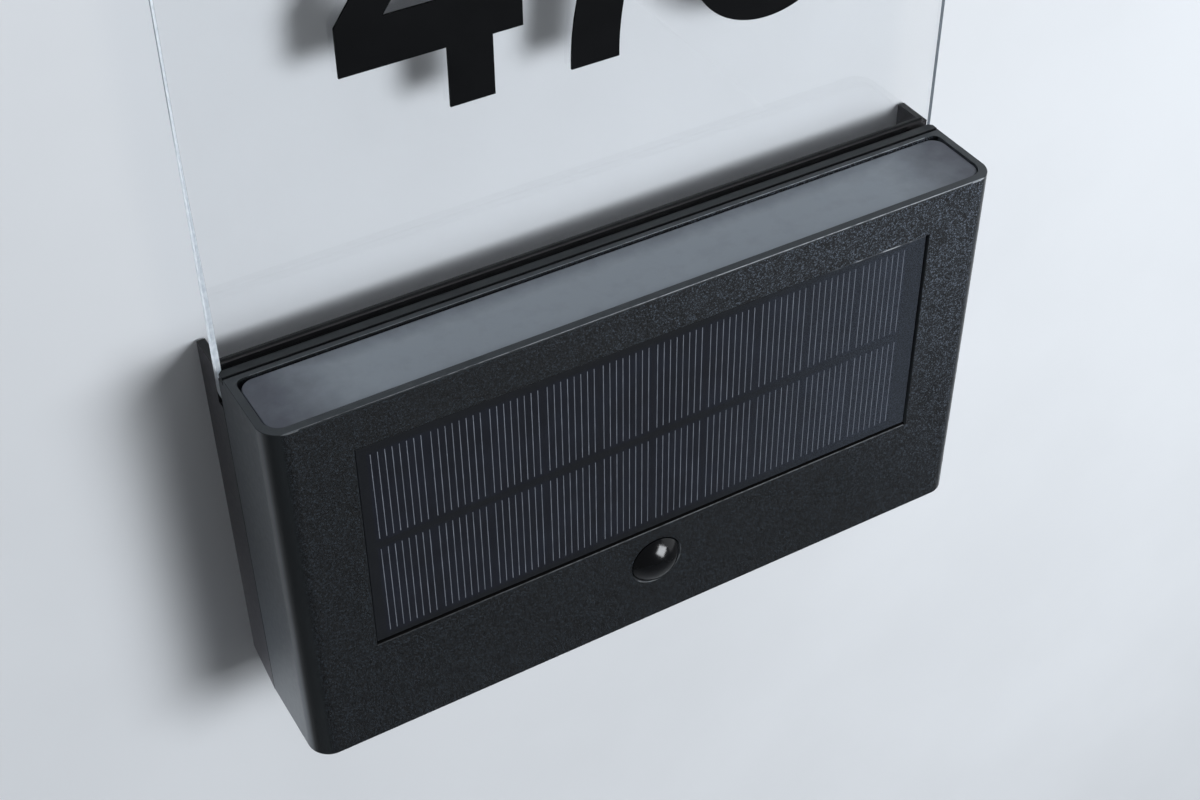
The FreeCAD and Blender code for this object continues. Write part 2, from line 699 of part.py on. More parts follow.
def screw_bosses(body):
    """Bosses for the cover screws, each tied to its side wall by a rib."""
    y_root = Y_INSIDE_FRONT - ROOT
    y_rib = Y_INSIDE_FRONT + BOSS_RIB
    half = BOSS_RIB / 2
    hole = SCREW_RADIUS + SCREW_CLEARANCE
    for x, z in cover_screw_places():
        body = body.fuse(rod(x, y_root, z, BOSS_RADIUS, Y_COVER_FRONT - y_root, BACK))
        ends = sorted((x, math.copysign(side_x(z) - HOUSING_WALL + ROOT, x)))
        body = body.fuse(box(ends[0], ends[1], y_rib, Y_SEAM - BOSS_RIB, z - half, z + half))
    for x, z in cover_screw_places():
        body = body.cut(rod(x, Y_COVER_FRONT + 1, z, hole, SCREW_LENGTH + 1, FRONT))
    return body


def front_housing():
    """Moulded shell: front face, two leaning sides, top rim with its window, and bottom."""
    z_ceiling = Z_LEDGE_TOP - LEDGE_THICKNESS
    y_behind = Y_COVER_BACK + 1
    z_floor = Z_BOTTOM + HOUSING_WALL
    hollow = leaning_block(HOUSING_WALL, Y_INSIDE_FRONT, y_behind, z_floor, z_ceiling)
    inner_corners = upright_edges(hollow, Y_INSIDE_FRONT)
    hollow = hollow.makeFillet(HOUSING_CORNER_RADIUS - HOUSING_WALL, inner_corners)
    body = rounded_shell().cut(hollow)

    # the rear opening that the cover drops into, and the cut for its full-width strip
    body = body.cut(leaning_block(SKIRT_WALL, Y_SEAM, y_behind, Z_BOTTOM + SKIRT_WALL, Z_RIM + 1))
    strip_foot = Z_RIM - COVER_STRIP_HEIGHT
    body = body.cut(box(-HOUSING_WIDTH, HOUSING_WIDTH, Y_SEAM, y_behind, strip_foot, Z_RIM + 1))

    # window in the top for the diffuser, and the narrower well through its ledge
    window = round_rect(
        HALF_WINDOW, Y_WINDOW_FRONT, Y_WINDOW_REAR, Z_LEDGE_TOP, Z_RIM + 1,
        WINDOW_FRONT_RADIUS, WINDOW_REAR_RADIUS)
    body = body.cut(window).cut(well_block(z_ceiling - 1, Z_LEDGE_TOP + 1))

    # small step along the top front edge
    step_half = HALF_WIDTH - RIM_STEP_END
    body = body.cut(box(
        -step_half, step_half, Y_FRONT - 1, Y_FRONT + RIM_STEP_DEPTH, Z_RIM - RIM_STEP_DROP, Z_RIM + 1))

    # pocket for the solar panel, with a floor behind it and a hole for the panel's leads
    y_root = Y_INSIDE_FRONT - ROOT
    body = body.fuse(pocket_box(HOUSING_WALL, y_root, Y_POCKET_BACK))
    body = body.cut(pocket_box(0.0, Y_FRONT - 1, Y_POCKET_FLOOR))
    body = body.makeChamfer(POCKET_CHAMFER, pocket_rim(body))
    through = POCKET_FLOOR + 2
    body = body.cut(rod(PANEL_PLUG_X, Y_POCKET_FLOOR - 1, Z_PANEL_LEAD, LEAD_HOLE_RADIUS, through, BACK))

    # round hole for the sensor, with a fine chamfer, and a collar behind it
    collar = DOME_FLANGE_RADIUS + COLLAR_CLEARANCE
    collar_depth = DOME_FLANGE_THICKNESS + CLAMP_RING_THICKNESS
    body = body.fuse(rod(0, y_root, Z_SENSOR, collar + COLLAR_WALL, collar_depth + ROOT, BACK))
    body = body.cut(rod(0, Y_INSIDE_FRONT, Z_SENSOR, collar, collar_depth + 1, BACK))
    body = body.cut(rod(0, Y_FRONT - 1, Z_SENSOR, SENSOR_HOLE_RADIUS, HOUSING_WALL + 2, BACK))
    mouth = SENSOR_HOLE_RADIUS + POCKET_CHAMFER
    body = body.cut(cone(0, Y_FRONT, Z_SENSOR, mouth, SENSOR_HOLE_RADIUS, POCKET_CHAMFER, BACK))

    # posts for the control board
    y_board = board_front()
    hole = SMALL_SCREW_RADIUS + SCREW_CLEARANCE
    for x, z in board_screw_places():
        body = body.fuse(rod(x, y_root, z, BOARD_POST_RADIUS, y_board - y_root, BACK))
    for x, z in board_screw_places():
        body = body.cut(rod(x, y_board + 1, z, hole, SMALL_SCREW_LENGTH, FRONT))
    return one_solid(screw_bosses(body))


def at_rear_corner(edge):
    """Whether an edge is an upright one at the cover's back face."""
    bounds = edge.BoundBox
    at_back = abs(bounds.YMin - Y_COVER_BACK) < TOUCH and bounds.YLength < TOUCH
    return at_back and bounds.XLength < bounds.ZLength


def rear_cover():
    """Flat back of the lamp, with screw holes, the switch's window and four hooks."""
    inset = SKIRT_WALL + COVER_SIDE_CLEARANCE
    body = leaning_block(inset, Y_COVER_FRONT, Y_COVER_BACK, Z_BOTTOM + inset, Z_RIM)
    strip = leaning_block(0.0, Y_COVER_FRONT, Y_COVER_BACK, Z_RIM - COVER_STRIP_HEIGHT, Z_RIM)
    corners = [edge for edge in strip.Edges if at_rear_corner(edge)]
    strip = strip.makeChamfer(COVER_STRIP_CHAMFER, corners)
    body = body.fuse(strip)
    for x, z in cover_screw_places():
        hole = SCREW_RADIUS + SCREW_CLEARANCE
        body = body.cut(rod(x, Y_COVER_FRONT - 1, z, hole, COVER_THICKNESS + 2, BACK))
        head = SCREW_HEAD_RADIUS + SCREW_CLEARANCE
        body = body.cut(cone(x, Y_COVER_BACK, z, head, hole, SCREW_HEAD_HEIGHT, FRONT))
    z_switch = Z_RIM - SWITCH_BELOW_RIM
    half_x = (KNOB_LENGTH + SWITCH_TRAVEL) / 2 + KNOB_CLEARANCE
    half_z = KNOB_HEIGHT / 2 + KNOB_CLEARANCE
    body = body.cut(box(
        SWITCH_X - half_x, SWITCH_X + half_x, Y_COVER_FRONT - 1, Y_COVER_BACK + 1,
        z_switch - half_z, z_switch + half_z))
    y_lip = Y_BRACKET_BACK + HOOK_CLEARANCE
    y_end = y_lip + HOOK_LIP_THICKNESS
    for x, z in hook_places():
        half = HOOK_WIDTH / 2
        stem = box(x - half, x + half, Y_COVER_BACK - ROOT, y_end, z, z + HOOK_STEM)
        lip = box(x - half, x + half, y_lip, y_end, z - HOOK_LIP, z + HOOK_STEM)
        body = body.fuse(stem).fuse(lip)
    return one_solid(body)


def cover_gasket():
    """Soft ring in the seam between the shell and the rear cover."""
    inset = SKIRT_WALL + COVER_SIDE_CLEARANCE
    z_strip = Z_RIM - COVER_STRIP_HEIGHT
    z_floor = Z_BOTTOM + HOUSING_WALL
    ring = leaning_block(inset, Y_SEAM, Y_COVER_FRONT, Z_BOTTOM + inset, z_strip)
    top = leaning_block(GASKET_SUNK, Y_SEAM, Y_COVER_FRONT, z_strip, Z_RIM - GASKET_SUNK)
    inner = leaning_block(HOUSING_WALL, Y_SEAM - 1, Y_COVER_FRONT + 1, z_floor, z_strip)
    return one_solid(ring.fuse(top).cut(inner))


def cover_screws():
    """Six countersunk screws from behind."""
    screws = []
    y_shank = Y_COVER_BACK - SCREW_HEAD_HEIGHT
    y_drive = Y_COVER_BACK - DRIVE_DEPTH
    long = DRIVE_LENGTH / 2
    wide = DRIVE_WIDTH / 2
    for x, z in cover_screw_places():
        head = cone(x, Y_COVER_BACK, z, SCREW_HEAD_RADIUS, SCREW_RADIUS, SCREW_HEAD_HEIGHT, FRONT)
        screw = head.fuse(rod(x, y_shank, z, SCREW_RADIUS, SCREW_LENGTH - SCREW_HEAD_HEIGHT, FRONT))
        for half_x, half_z in ((long, wide), (wide, long)):
            screw = screw.cut(box(
                x - half_x, x + half_x, y_drive, Y_COVER_BACK + 1, z - half_z, z + half_z))
        screws.append(screw)
    return group(screws)


# ---------------------------------------------------------------- solar panel
def panel_face():
    """Thin clear laminate over the cells, its front edges broken."""
    sheet = panel_box(0.0, Y_PANEL_FACE, Y_PANEL_CELLS)
    front = [edge for edge in sheet.Edges if edge.BoundBox.YMax < Y_PANEL_FACE + TOUCH]
    return sheet.makeChamfer(PANEL_EDGE_CHAMFER, front)


def panel_cells():
    """Cell strips in two rows."""
    first = CELLS_OFF_CENTRE - CELL_PITCH * (CELL_COLUMNS - 1) / 2
    z_middle = (Z_PANEL_TOP + Z_PANEL_BOTTOM) / 2
    row_pitch = CELL_HEIGHT + CELL_ROW_GAP
    cells = []
    for row in range(CELL_ROWS):
        z = z_middle + row_pitch * ((CELL_ROWS - 1) / 2 - row)
        for column in range(CELL_COLUMNS):
            x = first + CELL_PITCH * column
            half = (CELL_PITCH - CELL_GAP) / 2
            z_low = z - CELL_HEIGHT / 2
            cells.append(box(x - half, x + half, Y_PANEL_CELLS, Y_PANEL_BOARD, z_low, z_low + CELL_HEIGHT))
    return group(cells)


def panel_board():
    """Backing board that the cells are bonded to."""
    return panel_box(0.0, Y_PANEL_BOARD, Y_PANEL_TAPE)


def panel_tape():
    """Foam tape frame that bonds and seals the panel into its pocket."""
    frame = panel_box(0.0, Y_PANEL_TAPE, Y_POCKET_FLOOR)
    return one_solid(frame.cut(panel_box(PANEL_TAPE_WIDTH, Y_PANEL_TAPE - 1, Y_POCKET_FLOOR + 1)))


# ---------------------------------------------------------------- lit strip
def diffuser_block(z0, z1):
    """A block over the diffuser's outline, a small gap inside the window."""
    return round_rect(
        HALF_WINDOW - DIFFUSER_SIDE_GAP, Y_WINDOW_FRONT + DIFFUSER_FRONT_GAP,
        Y_WINDOW_REAR - DIFFUSER_REAR_GAP, z0, z1, DIFFUSER_CORNER_RADIUS, DIFFUSER_CORNER_RADIUS)


def well_block(z0, z1):
    """A block over the well inside the window's ledge."""
    return round_rect(
        HALF_WINDOW - LEDGE_WIDTH, Y_WINDOW_FRONT + LEDGE_WIDTH, Y_WINDOW_REAR - LEDGE_WIDTH,
        z0, z1, WELL_CORNER_RADIUS, WELL_CORNER_RADIUS)


def diffuser():
    """Frosted cap: a flat top with a short skirt that stands on the housing's ledge."""
    outer = diffuser_block(Z_DIFFUSER_FOOT, Z_DIFFUSER_TOP)
    outer = outer.makeFillet(DIFFUSER_EDGE_RADIUS, edges_at_z(outer, Z_DIFFUSER_TOP))
    return one_solid(outer.cut(well_block(Z_DIFFUSER_FOOT - 1, Z_DIFFUSER_TOP - DIFFUSER_THICKNESS)))


def diffuser_seal():
    """Bead of sealant between the diffuser's skirt and the ledge."""
    outer = diffuser_block(Z_LEDGE_TOP, Z_DIFFUSER_FOOT)
    return one_solid(outer.cut(well_block(Z_LEDGE_TOP - 1, Z_DIFFUSER_FOOT + 1)))


def tray_top():
    """Height of the reflector tray's rim, which meets the ledge from below."""
    return Z_LEDGE_TOP - LEDGE_THICKNESS


def frustum(top_half, bottom_half, top_y, bottom_y, z_top, z_bottom):
    """A four-sided trough shape between two centred rectangles."""
    def loop(half, y_half, z):
        middle = Y_WINDOW_MIDDLE
        corners = [
            Vector(-half, middle - y_half, z),
            Vector(half, middle - y_half, z),
            Vector(half, middle + y_half, z),
            Vector(-half, middle + y_half, z),
        ]
        return Part.makePolygon(corners + [corners[0]])
    loops = [loop(bottom_half, bottom_y, z_bottom), loop(top_half, top_y, z_top)]
    return Part.makeLoft(loops, True, True)


def reflector_tray():
    """White trough that throws the light upwards, with a flange bonded under the window's ledge."""
    z_top = tray_top()
    z_floor = z_top - TRAY_HEIGHT
    top_half = HALF_WIDTH - TRAY_TOP_FROM_SIDE
    floor_half = HALF_WIDTH - TRAY_FLOOR_FROM_SIDE
    top_y = TRAY_TOP_WIDTH / 2
    floor_y = TRAY_FLOOR_WIDTH / 2
    outer = frustum(
        top_half + TRAY_WALL, floor_half + TRAY_WALL, top_y + TRAY_WALL, floor_y + TRAY_WALL,
        z_top, z_floor - TRAY_WALL)
    flange_half = side_x(z_top - TRAY_WALL) - HOUSING_WALL - TRAY_FLANGE_END
    flange = box(
        -flange_half, flange_half, Y_WINDOW_MIDDLE - top_y - TRAY_WALL,
        Y_WINDOW_REAR - LEDGE_WIDTH + TRAY_FLANGE_LAP, z_top - TRAY_WALL, z_top)
    inner = frustum(top_half, floor_half, top_y, floor_y, z_top, z_floor)
    tray = outer.fuse(flange).cut(inner)
    y_hole = plug_mouth(LED_PLUG_X).y
    hole = rod(LED_PLUG_X, y_hole, z_floor + 1, LEAD_HOLE_RADIUS, TRAY_WALL + 2, DOWN)
    return one_solid(tray.cut(hole))


def tray_floor_z():
    """Height of the tray's inner floor, which the LED board lies on."""
    return tray_top() - TRAY_HEIGHT


def led_board():
    """Long narrow board on the tray's floor."""
    z = tray_floor_z()
    y0 = Y_WINDOW_MIDDLE - LED_BOARD_WIDTH / 2
    y1 = Y_WINDOW_MIDDLE + LED_BOARD_WIDTH / 2
    return box(-LED_BOARD_HALF, LED_BOARD_HALF, y0, y1, z, z + LED_BOARD_THICKNESS)


def leds():
    """A row of small surface-mount LEDs facing up."""
    z = tray_floor_z() + LED_BOARD_THICKNESS
    chips = []
    for index in range(LED_COUNT):
        x = LED_PITCH * (index - (LED_COUNT - 1) / 2)
        half_x = LED_LENGTH / 2
        half_y = LED_WIDTH / 2
        y = Y_WINDOW_MIDDLE
        chips.append(box(x - half_x, x + half_x, y - half_y, y + half_y, z, z + LED_HEIGHT))
    return group(chips)


# ---------------------------------------------------------------- motion sensor
def sensor_dome():
    """Dark domed lens with a flange behind the front wall."""
    foot = SENSOR_HOLE_RADIUS - DOME_GAP
    y_flange = Y_INSIDE_FRONT
    ball = (foot * foot + DOME_RISE * DOME_RISE) / (2 * DOME_RISE)
    y_centre = Y_FRONT - DOME_RISE + ball
    cap = Part.makeSphere(ball, Vector(0, y_centre, Z_SENSOR))
    cap = cap.common(rod(0, Y_FRONT, Z_SENSOR, foot, ball, FRONT))
    neck = rod(0, Y_FRONT, Z_SENSOR, foot, HOUSING_WALL, BACK)
    flange = rod(0, y_flange, Z_SENSOR, DOME_FLANGE_RADIUS, DOME_FLANGE_THICKNESS, BACK)
    body = cap.fuse(neck).fuse(flange)
    hollow = Part.makeSphere(ball - DOME_WALL, Vector(0, y_centre, Z_SENSOR))
    hollow = hollow.common(rod(0, Y_FRONT, Z_SENSOR, foot - DOME_WALL, ball, FRONT))
    deep = HOUSING_WALL + DOME_FLANGE_THICKNESS + 1
    bore = rod(0, Y_FRONT - TOUCH, Z_SENSOR, foot - DOME_WALL, deep, BACK)
    return one_solid(body.cut(hollow).cut(bore))


def sensor_clamp_ring():
    """Ring bonded behind the lens flange."""
    y = Y_INSIDE_FRONT + DOME_FLANGE_THICKNESS
    ring = rod(0, y, Z_SENSOR, DOME_FLANGE_RADIUS, CLAMP_RING_THICKNESS, BACK)
    inner = SENSOR_HOLE_RADIUS - DOME_GAP - DOME_WALL
    return one_solid(ring.cut(rod(0, y - 1, Z_SENSOR, inner, CLAMP_RING_THICKNESS + 2, BACK)))


def pir_sensor():
    """Round metal can of the motion sensor, standing on the control board."""
    y_board = board_front()
    base = rod(0, y_board - PIR_BASE_THICKNESS, Z_SENSOR, PIR_BASE_RADIUS, PIR_BASE_THICKNESS, BACK)
    can = rod(0, y_board - PIR_CAN_HEIGHT, Z_SENSOR, PIR_CAN_RADIUS, PIR_CAN_HEIGHT, BACK)
    return one_solid(base.fuse(can))


# ---------------------------------------------------------------- control board
def control_board():
    """Board behind the sensor, on four posts."""
    y = board_front()
    half_x = BOARD_WIDTH / 2
    half_z = BOARD_HEIGHT / 2
    board = box(-half_x, half_x, y, y + BOARD_THICKNESS, Z_SENSOR - half_z, Z_SENSOR + half_z)
    hole = SMALL_SCREW_RADIUS + SCREW_CLEARANCE
    for x, z in board_screw_places():
        board = board.cut(rod(x, y - 1, z, hole, BOARD_THICKNESS + 2, BACK))
    return one_solid(board)


def board_screws():
    """Four small screws that hold the control board."""
    y = board_front() + BOARD_THICKNESS
    screws = []
    for x, z in board_screw_places():
        head = rod(x, y, z, SMALL_HEAD_RADIUS, SMALL_HEAD_HEIGHT, BACK)
        shank = rod(x, y, z, SMALL_SCREW_RADIUS, SMALL_SCREW_LENGTH, FRONT)
        screws.append(head.fuse(shank))
    return group(screws)


def plug(x):
    """A lead's plug on the board's rear face, with its upper side open to the leads."""
    y = board_front() + BOARD_THICKNESS
    z = Z_SENSOR + PLUG_RISE
    return box(x - PLUG_WIDTH / 2, x + PLUG_WIDTH / 2, y, y + PLUG_DEPTH, z - PLUG_HEIGHT, z)


def board_components():
    """The larger parts on the board's rear face: plugs, controller, coil and capacitor."""
    y = board_front() + BOARD_THICKNESS
    z = Z_SENSOR
    parts = [plug(x) for x in (PANEL_PLUG_X, LED_PLUG_X, BATTERY_PLUG_X)]
    for x, half, rise in ((CHIP_X, CHIP_HALF, CHIP_RISE), (COIL_X, COIL_HALF, COIL_RISE)):
        parts.append(box(x - half, x + half, y, y + rise, z - half, z + half))
    parts.append(rod(CAPACITOR_X, y, z - CAPACITOR_DROP, CAPACITOR_RADIUS, CAPACITOR_RISE, BACK))
    return group(parts)


# ---------------------------------------------------------------- battery
def battery_axis():
    """Depth of the battery's axis, just in front of the rear cover."""
    return Y_COVER_FRONT - HOLDER_WALL - BATTERY_RADIUS - BATTERY_CLEARANCE


def battery_half_room():
    """Half the length between the holder's end walls."""
    return BATTERY_LENGTH / 2 + HOLDER_END_ROOM


def holder_half_height():
    """Half the holder's height: the cell, its clearance and the wall."""
    return BATTERY_RADIUS + BATTERY_CLEARANCE + HOLDER_WALL


def holder_bottom():
    """Height of the holder's underside."""
    return Z_RIM - BATTERY_BELOW_RIM - holder_half_height()


def battery_holder():
    """Open trough bonded to the inside of the rear cover."""
    y = battery_axis()
    z = Z_RIM - BATTERY_BELOW_RIM
    room = battery_half_room()
    tall = holder_half_height()
    bed_radius = BATTERY_RADIUS + BATTERY_CLEARANCE
    x0 = BATTERY_CENTRE_X - room
    x1 = BATTERY_CENTRE_X + room
    y_lip = y - HOLDER_LIP
    block = box(x0 - HOLDER_WALL, x1 + HOLDER_WALL, y_lip, Y_COVER_FRONT, z - tall, z + tall)
    bed = rod(x0, y, z, bed_radius, 2 * room, RIGHT)
    mouth = box(x0, x1, y_lip - 1, y, z - bed_radius, z + bed_radius)
    return one_solid(block.cut(bed).cut(mouth))


def battery_cell():
    """Rechargeable cell with its raised end."""
    y = battery_axis()
    z = Z_RIM - BATTERY_BELOW_RIM
    start = BATTERY_CENTRE_X - BATTERY_LENGTH / 2
    can = rod(start, y, z, BATTERY_RADIUS, BATTERY_LENGTH - BATTERY_TIP_LENGTH, RIGHT)
    tip = rod(start, y, z, BATTERY_TIP_RADIUS, BATTERY_LENGTH, RIGHT)
    return one_solid(can.fuse(tip))


def battery_contacts():
    """Bent spring plates at the two ends of the holder."""
    y = battery_axis()
    z = Z_RIM - BATTERY_BELOW_RIM
    room = battery_half_room()
    plates = []
    half = CONTACT_WIDTH / 2
    for side in (-1, 1):
        wall = BATTERY_CENTRE_X + side * room
        face = wall - side * CONTACT_THICKNESS
        flat = box(min(wall, face), max(wall, face), y - half, y + half, z - half, z + half)
        reach = HOLDER_END_ROOM - CONTACT_THICKNESS
        bump = cone(face, y, z, CONTACT_FOOT_RADIUS, CONTACT_TIP_RADIUS, reach, RIGHT * (-side))
        plates.append(flat.fuse(bump))
    return group(plates)


# ---------------------------------------------------------------- switch
def switch_body():
    """Slide switch behind the rear cover."""
    z = Z_RIM - SWITCH_BELOW_RIM
    half = SWITCH_BODY_LENGTH / 2
    tall = SWITCH_BODY_HEIGHT / 2
    y_back = Y_COVER_FRONT - SWITCH_BODY_DEPTH
    block = box(SWITCH_X - half, SWITCH_X + half, y_back, Y_COVER_FRONT, z - tall, z + tall)
    half_x = (KNOB_LENGTH + SWITCH_TRAVEL) / 2 + KNOB_CLEARANCE
    half_z = KNOB_HEIGHT / 2 + KNOB_CLEARANCE
    y_floor = y_back + SWITCH_FLOOR
    well = box(
        SWITCH_X - half_x, SWITCH_X + half_x, y_floor, Y_COVER_FRONT + 1, z - half_z, z + half_z)
    return one_solid(block.cut(well))


def switch_slider():
    """Ribbed knob that slides across; it rests at its left end."""
    z = Z_RIM - SWITCH_BELOW_RIM
    left = SWITCH_X - (KNOB_LENGTH + SWITCH_TRAVEL) / 2
    y_foot = Y_COVER_FRONT - SWITCH_BODY_DEPTH + SWITCH_FLOOR + KNOB_CLEARANCE
    y_tip = Y_COVER_BACK + KNOB_PROUD
    half = KNOB_HEIGHT / 2
    knob = box(left, left + KNOB_LENGTH, y_foot, y_tip, z - half, z + half)
    pitch = KNOB_LENGTH / (KNOB_GROOVE_COUNT + 1)
    y_groove = y_tip - KNOB_GROOVE_DEPTH
    for index in range(KNOB_GROOVE_COUNT):
        x0 = left + pitch * (index + 1) - KNOB_GROOVE_WIDTH / 2
        x1 = x0 + KNOB_GROOVE_WIDTH
        knob = knob.cut(box(x0, x1, y_groove, y_tip + 1, z - half - 1, z + half + 1))
    return one_solid(knob)


# ---------------------------------------------------------------- inner leads
def lead_pair(points, spread):
    """Two leads side by side along one route."""
    leads = []
    for side in (-0.5, 0.5):
        shift = spread * (side * LEAD_PITCH)
        route = [point + shift for point in points]
        first_run = (points[1] - points[0]).normalize()
        last_run = (points[-1] - points[-2]).normalize()
        route[0] = route[0] - first_run * shift.dot(first_run)
        route[-1] = route[-1] - last_run * shift.dot(last_run)
        if len(route) == 2:
            run = route[1] - route[0]
            leads.append(Part.makeCylinder(LEAD_RADIUS, run.Length, route[0], run))
        else:
            leads.append(path_tube(route, LEAD_BEND, LEAD_RADIUS))
    return group(leads)


def plug_mouth(x):
    """Where a pair of leads meets the top of its plug."""
    y = board_front() + BOARD_THICKNESS + PLUG_DEPTH - 2 * LEAD_RADIUS
    return Vector(x, y, Z_SENSOR + PLUG_RISE)


def panel_leads():
    """From the back of the solar board through the pocket's floor and down to their plug."""
    end = plug_mouth(PANEL_PLUG_X)
    corner = Vector(end.x, end.y, Z_PANEL_LEAD)
    start = Vector(end.x, Y_PANEL_TAPE, Z_PANEL_LEAD)
    return lead_pair([start, corner, end], RIGHT)


def led_leads():
    """From the LED board through the tray's floor and straight down to their plug."""
    end = plug_mouth(LED_PLUG_X)
    start = Vector(end.x, end.y, tray_floor_z())
    return lead_pair([start, end], RIGHT)


def battery_leads():
    """From the underside of the battery holder down to their plug."""
    end = plug_mouth(BATTERY_PLUG_X)
    start = Vector(end.x, end.y, holder_bottom())
    return lead_pair([start, end], RIGHT)


def switch_leads():
    """From the underside of the switch round to the right-hand end of the board's plug."""
    plug_side = PANEL_PLUG_X + PLUG_WIDTH / 2
    z_plug = Z_SENSOR + PLUG_RISE - PLUG_HEIGHT / 2
    y_plug = plug_mouth(PANEL_PLUG_X).y - LEAD_RADIUS
    y_switch = Y_COVER_FRONT - SWITCH_BODY_DEPTH / 2
    z_switch = Z_RIM - SWITCH_BELOW_RIM - SWITCH_BODY_HEIGHT / 2
    points = [
        Vector(SWITCH_X, y_switch, z_switch),
        Vector(SWITCH_X, y_switch, z_switch - 1.5 * LEAD_STRAIGHT),
        Vector(SWITCH_X - LEAD_STRAIGHT, y_plug, z_plug),
        Vector(plug_side, y_plug, z_plug),
    ]
    return lead_pair(points, (RIGHT + UP).normalize())


# ---------------------------------------------------------------- build everything
def main():
    os.makedirs("parts", exist_ok=True)
    nodes = {
        "wall_bracket": wall_bracket(),
        "plate_pads": plate_pads(),
        "number_plate": number_plate(),
        "numeral_left": numeral_four(),
        "numeral_middle": numeral_seven(),
        "numeral_right": numeral_eight(),
        "front_housing": front_housing(),
        "rear_cover": rear_cover(),
        "cover_gasket": cover_gasket(),
        "cover_screws": cover_screws(),
        "panel_face": panel_face(),
        "panel_cells": panel_cells(),
        "panel_board": panel_board(),
        "panel_tape": panel_tape(),
        "diffuser": diffuser(),
        "diffuser_seal": diffuser_seal(),
        "reflector_tray": reflector_tray(),
        "led_board": led_board(),
        "leds": leds(),
        "sensor_dome": sensor_dome(),
        "sensor_clamp_ring": sensor_clamp_ring(),
        "pir_sensor": pir_sensor(),
        "control_board": control_board(),
        "board_screws": board_screws(),
        "board_components": board_components(),
        "battery_holder": battery_holder(),
        "battery_cell": battery_cell(),
        "battery_contacts": battery_contacts(),
        "switch_body": switch_body(),
        "switch_slider": switch_slider(),
        "panel_leads": panel_leads(),
        "led_leads": led_leads(),
        "battery_leads": battery_leads(),
        "switch_leads": switch_leads(),
    }
    for node, shape in nodes.items():
        save(node, shape)


main()
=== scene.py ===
# %% [markdown]
# # A solar house number light, finished in Blender
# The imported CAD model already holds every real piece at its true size: the moulded lamp box, the
# wall bracket, the clear plate and its numerals, and all that is inside. This lesson gives each
# of them its finish, hangs the sign on a plain pale wall and lights it like a product on a set.
# Work is in metres, in the CAD model's own frame: X to the right, Y into the wall, Z up.

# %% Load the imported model
import math

import bpy
from mathutils import Matrix, Quaternion, Vector


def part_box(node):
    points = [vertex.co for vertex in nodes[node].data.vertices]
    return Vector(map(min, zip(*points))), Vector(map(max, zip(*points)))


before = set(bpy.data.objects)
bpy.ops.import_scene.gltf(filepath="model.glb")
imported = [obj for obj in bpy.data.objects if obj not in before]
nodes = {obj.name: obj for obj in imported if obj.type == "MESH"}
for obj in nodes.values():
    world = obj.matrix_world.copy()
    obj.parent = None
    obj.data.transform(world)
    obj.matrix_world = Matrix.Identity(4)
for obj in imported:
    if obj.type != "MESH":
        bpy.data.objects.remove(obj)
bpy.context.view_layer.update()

# %% [markdown]
# ## Measures to work from
# Every finish that has to line up with a piece, such as the solar cells' fingers, takes its
# place from the frame. So the boxes of the main pieces are read once, here, and named.

# %% Boxes of the main pieces
MM = 0.001

housing_low, housing_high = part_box("front_housing")
plate_low, plate_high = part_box("number_plate")
panel_low, panel_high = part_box("panel_face")
cells_low, cells_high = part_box("panel_cells")
diffuser_low, diffuser_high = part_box("diffuser")
bracket_low, bracket_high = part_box("wall_bracket")
dome_low, dome_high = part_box("sensor_dome")


def in_mm(low, high):
    """The three sizes of a box, in millimetres."""
    return [round((end - start) / MM, 1) for start, end in zip(low, high)]


print("housing", in_mm(housing_low, housing_high), "mm")

# %% [markdown]
# ## The camera
# The photograph looks down on the sign from its upper left, at arm's length. The camera's place
# and direction were solved from the housing's straight edges. They are easiest to read as a
# person would tell them: where it stands, how far it is turned to the right of straight at the
# wall, how far it looks down, and how far it is tipped to one side. Lamps are aimed later in the
# same way, so the aiming is a function of its own.

# %% Place the camera
CAMERA_PLACE = Vector((-0.17390, -0.31052, 0.30089))
CAMERA_TURN = math.radians(30.036)
CAMERA_DOWN = math.radians(40.710)
CAMERA_TIP = math.radians(-0.402)
CAMERA_LENS = 58.34
SENSOR_WIDTH = 36.0
NEAREST_SEEN = 0.01


def looking(place, direction, tip):
    """The matrix of a thing that stands at a place, looks along a direction and is tipped."""
    aim = direction.to_track_quat("-Z", "Y") @ Quaternion((0.0, 0.0, 1.0), tip)
    return Matrix.Translation(place) @ aim.to_matrix().to_4x4()


level_share = math.cos(CAMERA_DOWN)
camera_forward = Vector((math.sin(CAMERA_TURN) * level_share,
                         math.cos(CAMERA_TURN) * level_share, -math.sin(CAMERA_DOWN)))
camera_data = bpy.data.cameras.new("photo_camera")
camera_data.lens = CAMERA_LENS
camera_data.sensor_width = SENSOR_WIDTH
camera_data.sensor_fit = "HORIZONTAL"
camera_data.clip_start = NEAREST_SEEN
camera = bpy.data.objects.new("photo_camera", camera_data)
camera.matrix_world = looking(CAMERA_PLACE, camera_forward, CAMERA_TIP)
bpy.context.scene.collection.objects.link(camera)
bpy.context.scene.camera = camera
bpy.context.scene.view_settings.view_transform = "Standard"
print("camera", round(CAMERA_PLACE.length, 3), "m from the frame's origin")

# %% [markdown]
# ## A small kit for materials
# Each finish is a graph of shader nodes. Writing every link by hand hides what matters, so one
# class starts a material and does the wiring: it adds any node, does one step of arithmetic,
# mixes two colours or two shaders, and gives noise, ramps and relief. Colours are written as the
# eye sees them, from 0 to 255, and turned into the linear light that the shader works in.

# %% Colours
def tone(red, green, blue):
    """Linear colour from the 0 to 255 values that a screen shows."""
    linear = []
    for value in (red, green, blue):
        share = value / 255
        linear.append(share / 12.92 if share <= 0.04045 else ((share + 0.055) / 1.055) ** 2.4)
    return (*linear, 1.0)


def brighter(colour, factor):
    """A colour with its light scaled."""
    return (*(factor * value for value in colour[:3]), 1.0)


